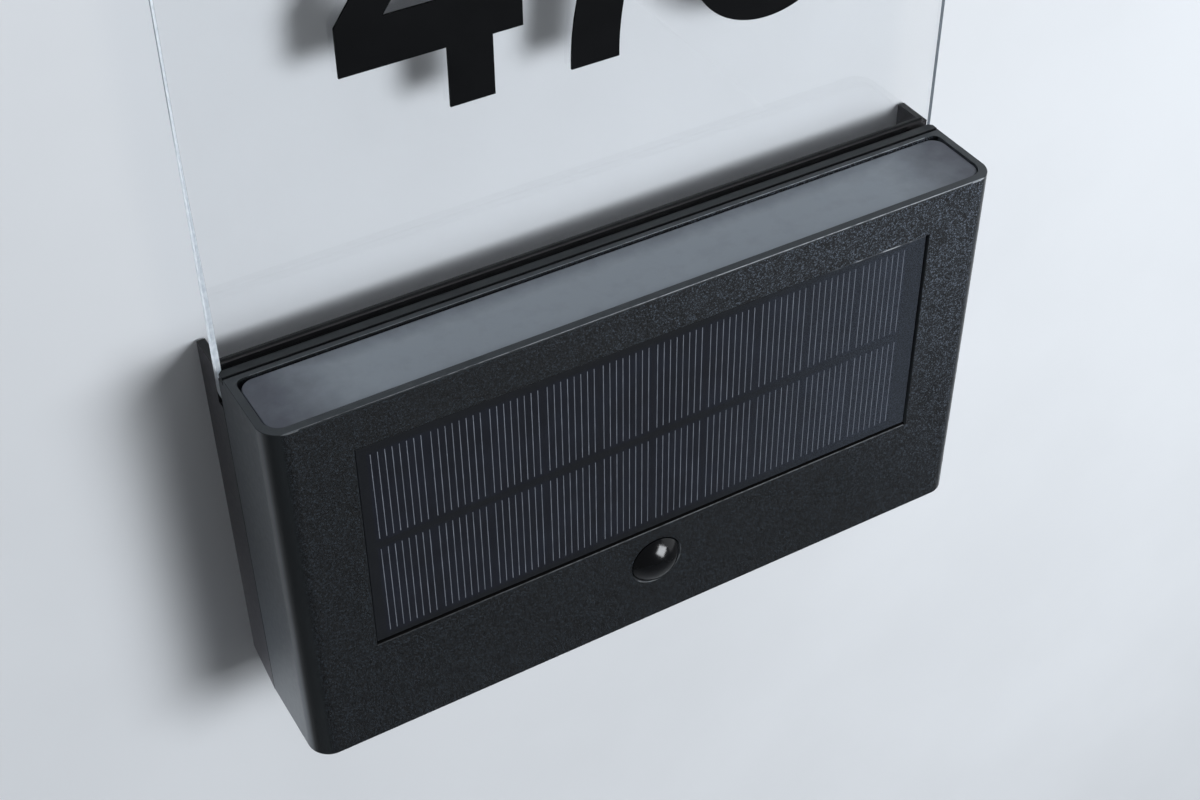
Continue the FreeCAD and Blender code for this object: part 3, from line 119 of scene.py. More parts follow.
print("mid grey is", round(tone(128, 128, 128)[0], 3), "of white in linear light")

# %% The class that builds a finish
class Finish:
    """A material and the few node moves that every finish here needs."""

    def __init__(self, name):
        self.material = bpy.data.materials.new(name)
        self.material.use_nodes = True
        self.tree = self.material.node_tree
        self.shader = self.tree.nodes["Principled BSDF"]
        self.output = self.tree.nodes["Material Output"]
        self.object_point = self.add("ShaderNodeTexCoord").outputs["Object"]

    def add(self, kind, settings=None, **inputs):
        """A node with its settings, its inputs set or linked."""
        node = self.tree.nodes.new(kind)
        for key, value in (settings or {}).items():
            setattr(node, key, value)
        for key, value in inputs.items():
            self.put(node.inputs[key.replace("_", " ")], value)
        return node

    def put(self, socket, value):
        """Link an output to a socket, or set the socket's own value."""
        if isinstance(value, bpy.types.NodeSocket):
            self.tree.links.new(value, socket)
        else:
            socket.default_value = value

    def set(self, **values):
        """Set or link the shader's own inputs."""
        for key, value in values.items():
            self.put(self.shader.inputs[key.replace("_", " ")], value)

    def show(self, shader):
        """Make this shader the one that the surface shows."""
        self.put(self.output.inputs["Surface"], shader)

    def math(self, operation, first, second=0.0, clamp=False):
        """One step of arithmetic on sockets or numbers."""
        node = self.add("ShaderNodeMath", {"operation": operation, "use_clamp": clamp})
        for socket, value in zip(node.inputs, (first, second)):
            self.put(socket, value)
        return node.outputs[0]

    def times(self, product, *shares):
        """Shares multiplied together."""
        for share in shares:
            product = self.math("MULTIPLY", product, share)
        return product

    def blend(self, share, first, second):
        """Two colours mixed by a share from 0 to 1."""
        node = self.add("ShaderNodeMix", {"data_type": "RGBA"})
        self.put(node.inputs["Factor"], share)
        self.put(node.inputs["A"], first)
        self.put(node.inputs["B"], second)
        return node.outputs["Result"]

    def mixed(self, share, under, over):
        """Two shaders mixed by a share from 0 to 1."""
        node = self.add("ShaderNodeMixShader")
        for socket, value in zip(node.inputs, (share, under, over)):
            self.put(socket, value)
        return node.outputs[0]

    def noise(self, size, detail=3.0, rough=0.55):
        """Smooth random values between 0 and 1 whose blotches are about this size in metres."""
        node = self.add("ShaderNodeTexNoise", Vector=self.object_point, Scale=1 / size,
                        Detail=detail, Roughness=rough)
        return node.outputs["Fac"]

    def ramp(self, value, low, high, to_low=0.0, to_high=1.0):
        """A value carried from one range to another, held at the ends."""
        node = self.add("ShaderNodeMapRange", {"interpolation_type": "SMOOTHSTEP"})
        for socket, number in zip(node.inputs, (value, low, high, to_low, to_high)):
            self.put(socket, number)
        return node.outputs["Result"]

    def between(self, place, low, high, soft=0.05 * MM):
        """1 inside a range, 0 outside it, with soft ends."""
        rise = self.ramp(place, low - soft, low + soft)
        fall = self.ramp(place, high + soft, high - soft)
        return self.times(rise, fall)

    def along(self):
        """The X, Y and Z of the point being shaded, in metres."""
        return self.add("ShaderNodeSeparateXYZ", Vector=self.object_point).outputs

    def facing(self):
        """The X, Y and Z of the surface's own direction."""
        normal = self.add("ShaderNodeNewGeometry").outputs["Normal"]
        return self.add("ShaderNodeSeparateXYZ", Vector=normal).outputs

    def bump(self, height, depth, strength):
        """Fine relief from a height, as deep as this in metres."""
        node = self.add("ShaderNodeBump", Strength=strength, Distance=depth, Height=height)
        return node.outputs["Normal"]

    def either_ray(self, first, second):
        """1 for rays of either kind, 0 for all others."""
        path = self.add("ShaderNodeLightPath").outputs
        return self.math("MAXIMUM", path[first], path[second])


def wear(node, finish):
    """Give a CAD node its finish."""
    slots = nodes[node].data.materials
    slots.clear()
    slots.append(finish.material)


MOST_NOISE = (0.3, 0.7)
print("material kit ready; most noise lies between", *MOST_NOISE)

# %% [markdown]
# ## The moulded housing
# The box is black plastic with two finishes from one mould: a fine spark-eroded grain on the
# front face, which breaks light into countless specks, and a smoother satin on the sides and the
# rim. Two materials could do it, but the piece is one solid, so one material tells its parts
# apart by the direction of the surface. The numbers below say how squarely a surface has to face
# a way, as a cosine, before a part's tone starts and where it is full. Y points into the wall,
# so whatever faces the front has a negative Y. Light is painted into the satin: it is painted a
# little paler on the rim, and paler still on the sides, most of all at their low end.

# %% Tones and directions of the satin
SATIN_BLACK = tone(30, 33, 35)
# Painted light: the rim is paler, the sides paler still, most of all at their low end.
SATIN_RIM_LIGHT = tone(52, 56, 59)
SATIN_SIDE_LIGHT = tone(76, 80, 84)
SATIN_ROUGH = (0.285, 0.325)
SATIN_PATCH = 60 * MM
SATIN_PATCH_LIFT = 1.2
SATIN_WAVER = 1.6 * MM
LOW_SIDE_LIGHT_FROM = 10 * MM
LOW_SIDE_LIGHT_LIFT = 2.8
FACES_UP = (0.7, 0.9)
FACES_ASIDE = (0.85, 0.97)


def satin(finish, colour, rim, side):
    """Satin shade and roughness, with painted light and shade on the rim and the sides."""
    patches = finish.ramp(finish.noise(SATIN_PATCH, 2.0), *MOST_NOISE)
    shade = finish.blend(patches, colour, brighter(colour, SATIN_PATCH_LIFT))
    if rim is not None:
        # Painted tone on faces that look up: light on the housing's rim, shade on the bracket's.
        shade = finish.blend(finish.ramp(finish.facing()["Z"], *FACES_UP), shade, rim)
    if side is not None:
        # Painted light on the sides, paler towards their low end.
        low_down = finish.ramp(finish.along()["Z"], LOW_SIDE_LIGHT_FROM, housing_low.z)
        side_light_tone = finish.blend(low_down, side, brighter(side, LOW_SIDE_LIGHT_LIFT))
        sideways = finish.ramp(finish.math("ABSOLUTE", finish.facing()["X"]), *FACES_ASIDE)
        shade = finish.blend(sideways, shade, side_light_tone)
    rough = finish.ramp(finish.noise(SATIN_WAVER, 2.0), *MOST_NOISE, *SATIN_ROUGH)
    return shade, rough


print("satin roughness from", SATIN_ROUGH[0], "to", SATIN_ROUGH[1])

# %% [markdown]
# Three narrow places read black on the real sign, because light hardly gets in: the seam between
# the shell and its rear cover, the lip just behind the plate, and the floor of the pocket under
# the solar panel. Each is painted over the satin as black and rough shade, placed by measure.

# %% Painted shade in narrow places
# Painted shade: black and rough, in the seam, behind the plate and in the pocket.
PAINTED_SHADE_BLACK = tone(3, 3, 4)
PAINTED_SHADE_ROUGH = 0.6
SEAM_HALF = 0.2 * MM
SEAM_SHADED_HALF = 0.44 * MM
SEAM_SOFT = 0.12 * MM
LIP_SHADED = 1.45 * MM
FACES_UP_BROADLY = (0.3, 0.6)
FACES_UP_MOSTLY = (0.5, 0.7)
POCKET_FLOOR = panel_low.z - 0.7 * MM
FLOOR_HALF_DEPTH = 0.1 * MM
seam_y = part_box("rear_cover")[0].y - SEAM_HALF


def seam(finish):
    """1 along the seam between the shell and its rear cover, where shade is painted."""
    near = finish.between(finish.along()["Y"], seam_y - SEAM_SHADED_HALF,
                          seam_y + SEAM_SHADED_HALF, SEAM_SOFT)
    return finish.times(near, finish.ramp(finish.facing()["Z"], *FACES_UP_BROADLY))


def lip(finish):
    """1 on the rim just behind the plate, where shade is painted."""
    near = finish.between(finish.along()["Y"], plate_high.y, plate_high.y + LIP_SHADED)
    return finish.times(near, finish.ramp(finish.facing()["Z"], *FACES_UP))


def pocket_floor(finish):
    """1 on the floor of the pocket, under the solar panel, where shade is painted."""
    near = finish.between(finish.along()["Z"], POCKET_FLOOR - FLOOR_HALF_DEPTH,
                          POCKET_FLOOR + FLOOR_HALF_DEPTH)
    return finish.times(near, finish.ramp(finish.facing()["Z"], *FACES_UP_MOSTLY))


def with_painted_shade(finish, where, shade, rough):
    """A shade and a roughness with black, rough painted shade laid over them."""
    shade = finish.blend(where, shade, PAINTED_SHADE_BLACK)
    rough = finish.math("ADD", rough, finish.times(where, PAINTED_SHADE_ROUGH))
    return shade, rough


print("seam at Y", round(seam_y / MM, 2), "mm and pocket floor at Z",
      round(POCKET_FLOOR / MM, 2), "mm")

# %% [markdown]
# Sharp moulded edges catch the light as hair lines: the front top edge, the sill under the panel,
# the low side of the sensor's hole and the rear edge of the strip's window. Such lines are thinner
# than the roundings that a model can afford, so each is a painted highlight: a narrow band of one
# coordinate or of the distance from the sensor, which soft noise breaks up. The long ones grow
# stronger to the right, towards the light.

# %% Painted highlights on edges
# Painted highlight: pale grey for edges that catch the light.
PAINTED_HIGHLIGHT_GREY = tone(186, 190, 195)
FACE_DEPTHS = (0.5 * MM, 0.3 * MM)
EDGE_LINE = 0.19 * MM
EDGE_FULL_FROM_END = 30 * MM
EDGE_SHARES = (0.22, 0.85)
SILL_LINE = 0.16 * MM
SILL_SHARES = (0.2, 0.75)
FACES_FRONT_Y = (-0.6, -0.9)
HOLE_RADIUS = 6.7 * MM
RING_LINE = 0.12 * MM
RING_SHARE = 0.35
RING_SLANT = 2.0
RING_FADE = (-2 * MM, 6 * MM)
WINDOW_GAP = 0.45 * MM
WINDOW_LINE = 0.18 * MM
WINDOW_CORNER = 3 * MM
WINDOW_RAMP_INSET = 20 * MM
WINDOW_SHARES = (0.3, 1.0)
HIGHLIGHT_BREAK_LENGTH = 2.2 * MM
HIGHLIGHT_BREAK_NOISE = (0.3, 0.6)
HIGHLIGHT_BREAK_SHARES = (0.35, 1.0)
sensor_x = (dome_low.x + dome_high.x) / 2
sensor_z = (dome_low.z + dome_high.z) / 2


def edge_line(finish, point):
    """Where a highlight is painted on the front top edge."""
    edge = finish.between(point["Z"], housing_high.z - EDGE_LINE, housing_high.z + MM)
    to_right = finish.ramp(point["X"], housing_low.x, housing_high.x - EDGE_FULL_FROM_END,
                           *EDGE_SHARES)
    return finish.times(edge, to_right)


def sill_line(finish, point):
    """Where a highlight is painted on the sill under the panel, on the face only."""
    sill = finish.between(point["Z"], POCKET_FLOOR - SILL_LINE, POCKET_FLOOR + 0.02 * MM)
    under_panel = finish.between(point["X"], panel_low.x, panel_high.x)
    on_face = finish.ramp(finish.facing()["Y"], *FACES_FRONT_Y)
    to_right = finish.ramp(point["X"], panel_low.x, 0.0, *SILL_SHARES)
    return finish.times(sill, under_panel, on_face, to_right)


def ring_line(finish, point):
    """Where a highlight is painted on the low right side of the sensor's hole."""
    aside = finish.math("POWER", finish.math("SUBTRACT", point["X"], sensor_x), 2.0)
    above = finish.math("POWER", finish.math("SUBTRACT", point["Z"], sensor_z), 2.0)
    from_sensor = finish.math("SQRT", finish.math("ADD", aside, above))
    ring = finish.between(from_sensor, HOLE_RADIUS - 0.1 * MM, HOLE_RADIUS + RING_LINE)
    slanted = finish.math("SUBTRACT", point["X"], finish.times(point["Z"], RING_SLANT))
    middle = sensor_x - RING_SLANT * sensor_z
    low_right = finish.ramp(slanted, *(middle + reach for reach in RING_FADE))
    return finish.times(ring, low_right, RING_SHARE)


def window_line(finish, point):
    """Where a highlight is painted on the rear edge of the strip's window."""
    start = diffuser_high.y + WINDOW_GAP
    window = finish.between(point["Y"], start, start + WINDOW_LINE)
    upward = finish.ramp(finish.facing()["Z"], *FACES_UP_MOSTLY)
    straight = finish.between(point["X"], diffuser_low.x + WINDOW_CORNER,
                              diffuser_high.x - WINDOW_CORNER)
    to_right = finish.ramp(point["X"], housing_low.x + WINDOW_RAMP_INSET,
                           housing_high.x - WINDOW_RAMP_INSET, *WINDOW_SHARES)
    return finish.times(window, upward, straight, to_right)


def painted_highlight_lines(finish):
    """How far each point is painted with an edge highlight, from 0 to 1."""
    point = finish.along()
    in_front = finish.ramp(point["Y"], *(housing_low.y + depth for depth in FACE_DEPTHS))
    lines = finish.math("MAXIMUM", edge_line(finish, point), sill_line(finish, point))
    lines = finish.math("MAXIMUM", lines, ring_line(finish, point))
    lines = finish.times(lines, in_front)
    lines = finish.math("MAXIMUM", lines, window_line(finish, point))
    broken = finish.ramp(finish.noise(HIGHLIGHT_BREAK_LENGTH, 4.0, 0.7), *HIGHLIGHT_BREAK_NOISE, *HIGHLIGHT_BREAK_SHARES)
    return finish.times(lines, broken)


print("sensor's middle at", [round(value / MM, 1) for value in (sensor_x, sensor_z)], "mm")

# %% [markdown]
# Each grain of the front face is one Voronoi cell with a tone of its own, which is partly the
# grain's colour and partly a painted glint: a high power keeps most cells dark and lets a few
# shine.
# A noise relief lies over them, and a painted sheen makes the grain paler towards the upper right.

# %% Grain of the front face
FACE_BLACK = tone(4, 5, 7)
# Speck tones, partly grain colour and partly painted glints; paler to the upper right as painted
# sheen.
GRAIN_AND_GLINT_LIGHT = tone(46, 53, 60)
GRAIN_PAINTED_SHEEN = tone(112, 121, 134)
GRAIN_SIZE = 0.25 * MM
GRAIN_DEPTH = 0.2 * MM
GRAIN_RELIEF = 0.8
SPECK_AND_GLINT_POWER = 4.5
FACE_EXTRA_ROUGH = 0.16
SPECK_EXTRA_ROUGH = 0.25
FACES_FRONT_SQUARE = (0.90, 0.985)


def grained(finish, shade, rough):
    """Shade and roughness with grain, painted glints and a painted sheen on the front face."""
    point = finish.along()
    to_front = finish.math("MULTIPLY", finish.facing()["Y"], -1.0)
    face = finish.ramp(to_front, *FACES_FRONT_SQUARE)
    cells = finish.add("ShaderNodeTexVoronoi", {"feature": "F1"}, Vector=finish.object_point,
                       Scale=1 / GRAIN_SIZE)
    chance = finish.add("ShaderNodeSeparateColor", Color=cells.outputs["Color"]).outputs[0]
    speck_and_glint = finish.math("POWER", chance, SPECK_AND_GLINT_POWER)
    # Painted sheen: the specks grow paler towards the upper right.
    upper_right = finish.math("ADD", point["X"], point["Z"])
    painted_sheen_share = finish.ramp(upper_right, 0.0, housing_high.x + housing_high.z)
    grain_glint_sheen_tone = finish.blend(painted_sheen_share, GRAIN_AND_GLINT_LIGHT, GRAIN_PAINTED_SHEEN)
    shade = finish.blend(face, shade, finish.blend(speck_and_glint, FACE_BLACK, grain_glint_sheen_tone))
    coarse = finish.math("ADD", FACE_EXTRA_ROUGH, finish.times(speck_and_glint, SPECK_EXTRA_ROUGH))
    rough = finish.math("ADD", rough, finish.times(coarse, face))
    height = finish.noise(GRAIN_SIZE, 2.0, 0.7)
    finish.set(Normal=finish.bump(height, GRAIN_DEPTH, finish.times(face, GRAIN_RELIEF)))
    return shade, rough


print("grain of", round(GRAIN_SIZE / MM, 2), "mm")

# %% [markdown]
# Now the layers go together. The housing gets all of them. The rear cover has no grained face and
# no painted tone on the rim, and it has painted shade on the lip behind the plate. The satin's
# roughness never falls below 0.285: in test renders a smoother, uneven satin showed stray dark
# specks.

# %% Put the moulded black together
SATIN_SHINE = 0.25


def moulded_black(name, colour, has_face, rim=None, side=None):
    """Satin black with painted shade in its gaps, and a grained face with painted highlights."""
    finish = Finish(name)
    shade, rough = satin(finish, colour, rim, side)
    shade, rough = with_painted_shade(finish, seam(finish), shade, rough)
    if has_face:
        shade, rough = grained(finish, shade, rough)
        shade, rough = with_painted_shade(finish, pocket_floor(finish), shade, rough)
        shade = finish.blend(painted_highlight_lines(finish), shade, PAINTED_HIGHLIGHT_GREY)
    else:
        shade, rough = with_painted_shade(finish, lip(finish), shade, rough)
    finish.set(Base_Color=shade, Roughness=rough, Specular_IOR_Level=SATIN_SHINE)
    return finish


wear("front_housing", moulded_black("housing_black", SATIN_BLACK, True, SATIN_RIM_LIGHT, SATIN_SIDE_LIGHT))
wear("rear_cover", moulded_black("cover_black", SATIN_BLACK, False))
print("housing and cover finished")

# %% [markdown]
# ## The wall bracket
# The bracket is moulded from another batch of black, a touch warmer than the housing, as its side
# flange shows. Its thin rim is painted darker as shade, and its sides paler as light. The same
# function makes it, with its own black and these two painted tones.

# %% Warmer black for the bracket
BRACKET_BLACK = tone(31, 29, 30)
# Painted shade on the bracket's rim, and painted light on its sides.
BRACKET_RIM_SHADE = tone(20, 21, 22)
BRACKET_SIDE_LIGHT = tone(64, 63, 67)
wear("wall_bracket",
     moulded_black("bracket_black", BRACKET_BLACK, False, BRACKET_RIM_SHADE, BRACKET_SIDE_LIGHT))
print("bracket finished")

# %% [markdown]
# ## The solar panel
# Under a clear laminate lie two rows of dark blue cells, each with thin printed silver fingers.
# The laminate is only half a millimetre thick, so the eye sees cells and laminate as one glossy
# surface. The pattern is worked out from position: the fraction of a division folds the width
# into one cell and then into one finger, so eighty thin lines come from a few steps of
# arithmetic. The cells were laid a third of a degree askew, so their pattern is turned by that.

# %% Pattern of cells and fingers
CELL_PITCH = 13.64 * MM
CELL_START = 0.25 * MM
CELL_TURN = math.radians(0.3)
FINGER_PITCH = 1.629 * MM
FINGERS_PER_CELL = 8
FINGER_WIDTH = 0.17 * MM
COMB_WIDTH = FINGERS_PER_CELL * FINGER_PITCH
CELL_JOINT = 0.5 * MM
CELL_BELOW = 0.7 * MM
CELL_ABOVE = 0.5 * MM
CELL_SOFT = 0.15 * MM
FINGER_SOFT = 0.05 * MM
ROWS_MIDDLE = (cells_low.z + cells_high.z) / 2
FINGER_ROWS = ((cells_low.z + 0.9 * MM, ROWS_MIDDLE - 0.9 * MM),
               (ROWS_MIDDLE + 2.2 * MM, cells_high.z - 0.6 * MM))


def stripe(finish, place, pitch, width):
    """1 on thin lines that repeat with a pitch, 0 between them."""
    folded = finish.math("FRACT", finish.math("DIVIDE", place, pitch))
    offset = finish.math("ABSOLUTE", finish.math("SUBTRACT", folded, 0.5))
    return finish.ramp(finish.times(offset, pitch), 0.62 * width, 0.38 * width)


def askew(finish):
    """The X, Y and Z of a point of the panel, turned as the cells were laid."""
    turned = finish.add("ShaderNodeVectorRotate", {"rotation_type": "Y_AXIS"},
                        Vector=finish.object_point, Center=(cells_low + cells_high) / 2,
                        Angle=CELL_TURN)
    return finish.add("ShaderNodeSeparateXYZ", Vector=turned.outputs[0]).outputs


def in_rows(finish, point, below, beyond, soft):
    """1 inside the two rows, widened downwards and upwards."""
    rows = [finish.between(point["Z"], low - below, high + beyond, soft)
            for low, high in FINGER_ROWS]
    return finish.math("ADD", *rows, clamp=True)


def panel_pattern(finish, point):
    """Where the fingers are, where the cells are and where two cells meet."""
    across = finish.math("SUBTRACT", point["X"], cells_low.x - CELL_START)
    share = finish.math("FRACT", finish.math("DIVIDE", across, CELL_PITCH))
    comb = finish.math("SUBTRACT", finish.times(share, CELL_PITCH), (CELL_PITCH - COMB_WIDTH) / 2)
    in_comb = finish.between(comb, 0.0, COMB_WIDTH)
    in_width = finish.between(point["X"], cells_low.x, cells_high.x)
    fingers = finish.times(stripe(finish, comb, FINGER_PITCH, FINGER_WIDTH), in_comb, in_width,
                           in_rows(finish, point, 0.0, 0.0, FINGER_SOFT))
    cells = finish.times(in_rows(finish, point, CELL_BELOW, CELL_ABOVE, CELL_SOFT), in_width)
    joints = stripe(finish, finish.math("SUBTRACT", across, CELL_PITCH / 2), CELL_PITCH,
                    CELL_JOINT)
    return fingers, cells, joints


print(round((cells_high.x - cells_low.x) / CELL_PITCH), "cells in a row, fingers",
      round(FINGER_PITCH / MM, 2), "mm apart")

# %% [markdown]
# The colours follow: clouded blue silicon, a black border and dull silver fingers. Towards the
# right a pale, speckled sheen is painted on, and the top edge there has a broken, painted glint.

# %% Panel face
CELL_BLUE = tone(13, 15, 23)
CELL_CLOUD = tone(19, 22, 32)
# Painted sheen over the cells towards the right.
CELL_PAINTED_SHEEN = tone(68, 75, 86)
BORDER_BLACK = tone(15, 17, 21)
FINGER_SILVER = tone(122, 127, 136)
JOINT_SHARE = 0.4
SHEEN_PAST_END = 10 * MM
SHEEN_SHARES = (0.03, 1.0)
# Painted highlight along the right end of the panel's top edge.
GLINT_LINE = 0.16 * MM
GLINT_FROM_END = (30 * MM, 12 * MM)
GLINT_SHARES = (0.0, 0.9)


def with_painted_sheen(finish, point, shade):
    """A shade with a painted, pale sheen that grows to the right."""
    to_right = finish.ramp(point["X"], (panel_low.x + panel_high.x) / 2,
                           panel_high.x + SHEEN_PAST_END, *SHEEN_SHARES)
    speckle = finish.ramp(finish.noise(GRAIN_SIZE, 2.0, 0.7), 0.35, 0.75)
    return finish.blend(finish.times(speckle, to_right), shade, CELL_PAINTED_SHEEN)


def glint(finish, point):
    """1 on the painted glint along the right end of the top edge."""
    top = finish.between(finish.along()["Z"], panel_high.z - GLINT_LINE, panel_high.z + MM)
    to_right = finish.ramp(point["X"], *(panel_high.x - inset for inset in GLINT_FROM_END),
                           *GLINT_SHARES)
    broken = finish.ramp(finish.noise(6 * MM, 3.0), 0.4, 0.6, 0.1, 1.0)
    return finish.times(top, to_right, broken)


def solar_panel():
    """Laminate over two rows of cells."""
    finish = Finish("panel_laminate")
    point = askew(finish)
    fingers, cells, joints = panel_pattern(finish, point)
    cloud = finish.ramp(finish.noise(9 * MM, 3.0), 0.3, 0.75)
    silicon = finish.blend(cloud, CELL_BLUE, CELL_CLOUD)
    silicon = finish.blend(finish.times(joints, JOINT_SHARE), silicon, BORDER_BLACK)
    shade = with_painted_sheen(finish, point, finish.blend(cells, BORDER_BLACK, silicon))
    uneven = finish.ramp(finish.noise(4 * MM, 2.0), 0.25, 0.75, 0.6, 1.0)
    shade = finish.blend(finish.times(fingers, uneven), shade, FINGER_SILVER)
    shade = finish.blend(glint(finish, point), shade, PAINTED_HIGHLIGHT_GREY)
    ripple = finish.bump(finish.noise(0.5 * MM, 2.0), 0.05 * MM, 0.4)
    finish.set(Base_Color=shade, Roughness=0.36, Specular_IOR_Level=0.35, Normal=ripple)
    return finish


wear("panel_face", solar_panel())
print("panel", in_mm(panel_low, panel_high)[0], "mm wide")

# %% [markdown]
# ## The frosted strip
# The diffuser is a milky cap. By day it is a soft blue grey, painted lighter in the middle of its
# length, where the white tray below sends light back, and painted darker as shade at the ends and
# along its back edge. Real scattering needs many bounces, so this painted light and shade comes
# from position and a soft noise.

# %% Frosted diffuser
# Painted light in the middle of the strip, painted shade at its ends and back.
DIFFUSER_LIT_MIDDLE = tone(133, 140, 147)
DIFFUSER_SHADED_END = tone(73, 76, 85)
END_FROM = 0.72
BACK_SHARE = 0.35
BACK_DIM = 0.55
SCATTER_REACH = 3 * MM


def frosted():
    """Milky plastic, painted lighter in the middle of its length and darker as shade at its ends.
    """
    finish = Finish("frosted_diffuser")
    point = finish.along()
    half = (diffuser_high.x - diffuser_low.x) / 2
    from_middle = finish.math("DIVIDE", finish.math("ABSOLUTE", point["X"]), half)
    ends = finish.ramp(from_middle, END_FROM, 1.0)
    depth = diffuser_high.y - diffuser_low.y
    back = finish.ramp(point["Y"], diffuser_high.y - BACK_SHARE * depth, diffuser_high.y)
    dim = finish.math("MAXIMUM", ends, finish.times(back, BACK_DIM))
    mottle = finish.ramp(finish.noise(5 * MM, 4.0, 0.6), 0.25, 0.75, -0.10, 0.10)
    dim = finish.math("ADD", dim, mottle, clamp=True)
    shade = finish.blend(dim, DIFFUSER_LIT_MIDDLE, DIFFUSER_SHADED_END)
    relief = finish.bump(finish.noise(0.5 * MM, 3.0), 0.02 * MM, 0.4)
    finish.set(Base_Color=shade, Roughness=0.42, Normal=relief, Specular_IOR_Level=0.45)
    finish.set(Subsurface_Weight=0.15, Subsurface_Radius=(SCATTER_REACH,) * 3,
               Subsurface_Scale=1.0)
    return finish


wear("diffuser", frosted())
print("diffuser", in_mm(diffuser_low, diffuser_high)[0], "mm long finished")

# %% [markdown]
# ## The sensor's lens
# The motion sensor looks out through a low dome of very dark, polished plastic. It reads as a
# black bead with one crisp window of light, so the base stays nearly black and the roughness low.

# %% Glossy dark dome
DOME_BLACK = tone(7, 8, 10)
DOME_ROUGH = (0.14, 0.22)


def dark_lens():
    """Polished, nearly black plastic."""
    finish = Finish("sensor_lens")
    wiped = finish.ramp(finish.noise(2.5 * MM, 3.0), 0.35, 0.8, *DOME_ROUGH)
    finish.set(Base_Color=DOME_BLACK, Roughness=wiped, Specular_IOR_Level=0.45)
    return finish


wear("sensor_dome", dark_lens())
print("lens finished,", in_mm(dome_low, dome_high)[0], "mm across with its flange")

# %% [markdown]
# ## The clear plate
# The number plate is 2 mm acrylic sheet: polished on its faces, sawn and flamed on its edges.
# The faces are true refracting plastic. The edges gather light from the whole sheet, so they
# glow pale and hide what is behind: a translucent shader takes the light that arrives from
# inside. Painted shade lies along the left edge's rear as a grey line, and over the right edge.

# %% Edges of the sheet
EDGE_PALE = tone(240, 245, 249)
EDGE_DULL = tone(218, 225, 231)
# Painted shade: a grey line along the left edge's rear, and the right edge's tone.
EDGE_SHADE_LINE_GREY = tone(120, 127, 133)
EDGE_SHADED = tone(112, 119, 125)
EDGE_GLOW = 0.75
FACES_OFF_FRONT = (0.7, 0.4)
ACRYLIC_IOR = 1.49
REAR_LINE_DEPTHS = (1.1 * MM, 0.5 * MM)
REAR_LINE_SHARES = (0.3, 0.9)
HIGH_UP = (45 * MM, 65 * MM)
OFF_RIM = (4 * MM, 14 * MM)


def above_rim(heights):
    """Heights given from the top of the housing's rim, as Z in the frame."""
    return [housing_high.z + height for height in heights]


def edge_tone(finish, point):
    """Pale sawn edge with a painted grey shade line at its rear, and painted shade to the right.
    """
    saw = finish.ramp(finish.noise(1.4 * MM, 3.0), *MOST_NOISE)
    pale = finish.blend(saw, EDGE_PALE, EDGE_DULL)
    rear = finish.ramp(point["Y"], *(plate_high.y - depth for depth in REAR_LINE_DEPTHS))
    high_up = finish.ramp(point["Z"], *above_rim(HIGH_UP), *REAR_LINE_SHARES)
    off_rim = finish.ramp(point["Z"], *above_rim(OFF_RIM))
    pale = finish.blend(finish.times(rear, high_up, off_rim), pale, EDGE_SHADE_LINE_GREY)
    return finish.blend(finish.ramp(point["X"], 0.0, plate_high.x), pale, EDGE_SHADED)


def edge_glow(finish, point):
    """A shader that is part skin and part light from inside the sheet."""
    pale = edge_tone(finish, point)
    skin = finish.add("ShaderNodeBsdfPrincipled", Base_Color=pale, Roughness=0.35,
                      IOR=ACRYLIC_IOR)
    glow = finish.add("ShaderNodeBsdfTranslucent", Color=pale)
    return finish.mixed(EDGE_GLOW, skin.outputs[0], glow.outputs[0])


print("plate", in_mm(plate_low, plate_high), "mm")

# %% [markdown]
# A band of painted edge glow runs on a little way over the left of the face, widest near the slot
# and almost gone 60 mm above the rim. The foot, inside the slot, is painted black as shade, so the
# slot reads as one black line; the painted shade stops short of the sheet's two ends. One material
# does all this, told apart by the surface's direction and by measure. A clear sheet lets light
# through to the wall, so shadow rays, and the soft light that the wall sends back, pass straight
# through.

# %% Clear acrylic
CLEAR_TINT = (0.995, 0.998, 1.0, 1.0)
PASSING_TINT = (0.965, 0.97, 0.975, 1.0)
# Painted shade: the foot inside the slot is black.
SLOT_SHADE_BLACK = tone(4, 4, 5)
FOOT_HEIGHTS = (0.5 * MM, 0.2 * MM)
FOOT_OFF_RIGHT = (5 * MM, 7 * MM)
FOOT_OFF_LEFT = (0.5 * MM, 1.1 * MM)
# Painted edge glow: a pale band over the face beside the left edge.
GLOW_BAND_REACH = 1.0 * MM
GLOW_BAND_HEIGHTS = (60 * MM, 2 * MM)
GLOW_BAND_TOP_SHARE = 0.2
GLOW_BAND_SOFT = (0.05 * MM, -0.1 * MM)


def edge_and_glow_band(finish, point, inwards):
    """1 on the sawn edges and on the band of painted edge glow beside the left one."""
    edge = finish.ramp(finish.math("ABSOLUTE", finish.facing()["Y"]), *FACES_OFF_FRONT)
    reach = finish.ramp(point["Z"], *above_rim(GLOW_BAND_HEIGHTS), GLOW_BAND_TOP_SHARE * GLOW_BAND_REACH,
                        GLOW_BAND_REACH)
    painted_glow_band = finish.ramp(finish.math("SUBTRACT", inwards, reach), *GLOW_BAND_SOFT)
    return finish.math("MAXIMUM", edge, painted_glow_band)


def slot_shade_area(finish, point, inwards):
    """1 on the foot, where shade is painted black."""
    foot = finish.ramp(point["Z"], *above_rim(FOOT_HEIGHTS))
    off_right = finish.ramp(point["X"], *(plate_high.x - inset for inset in FOOT_OFF_RIGHT))
    off_left = finish.ramp(inwards, *FOOT_OFF_LEFT)
    return finish.times(foot, off_right, off_left)


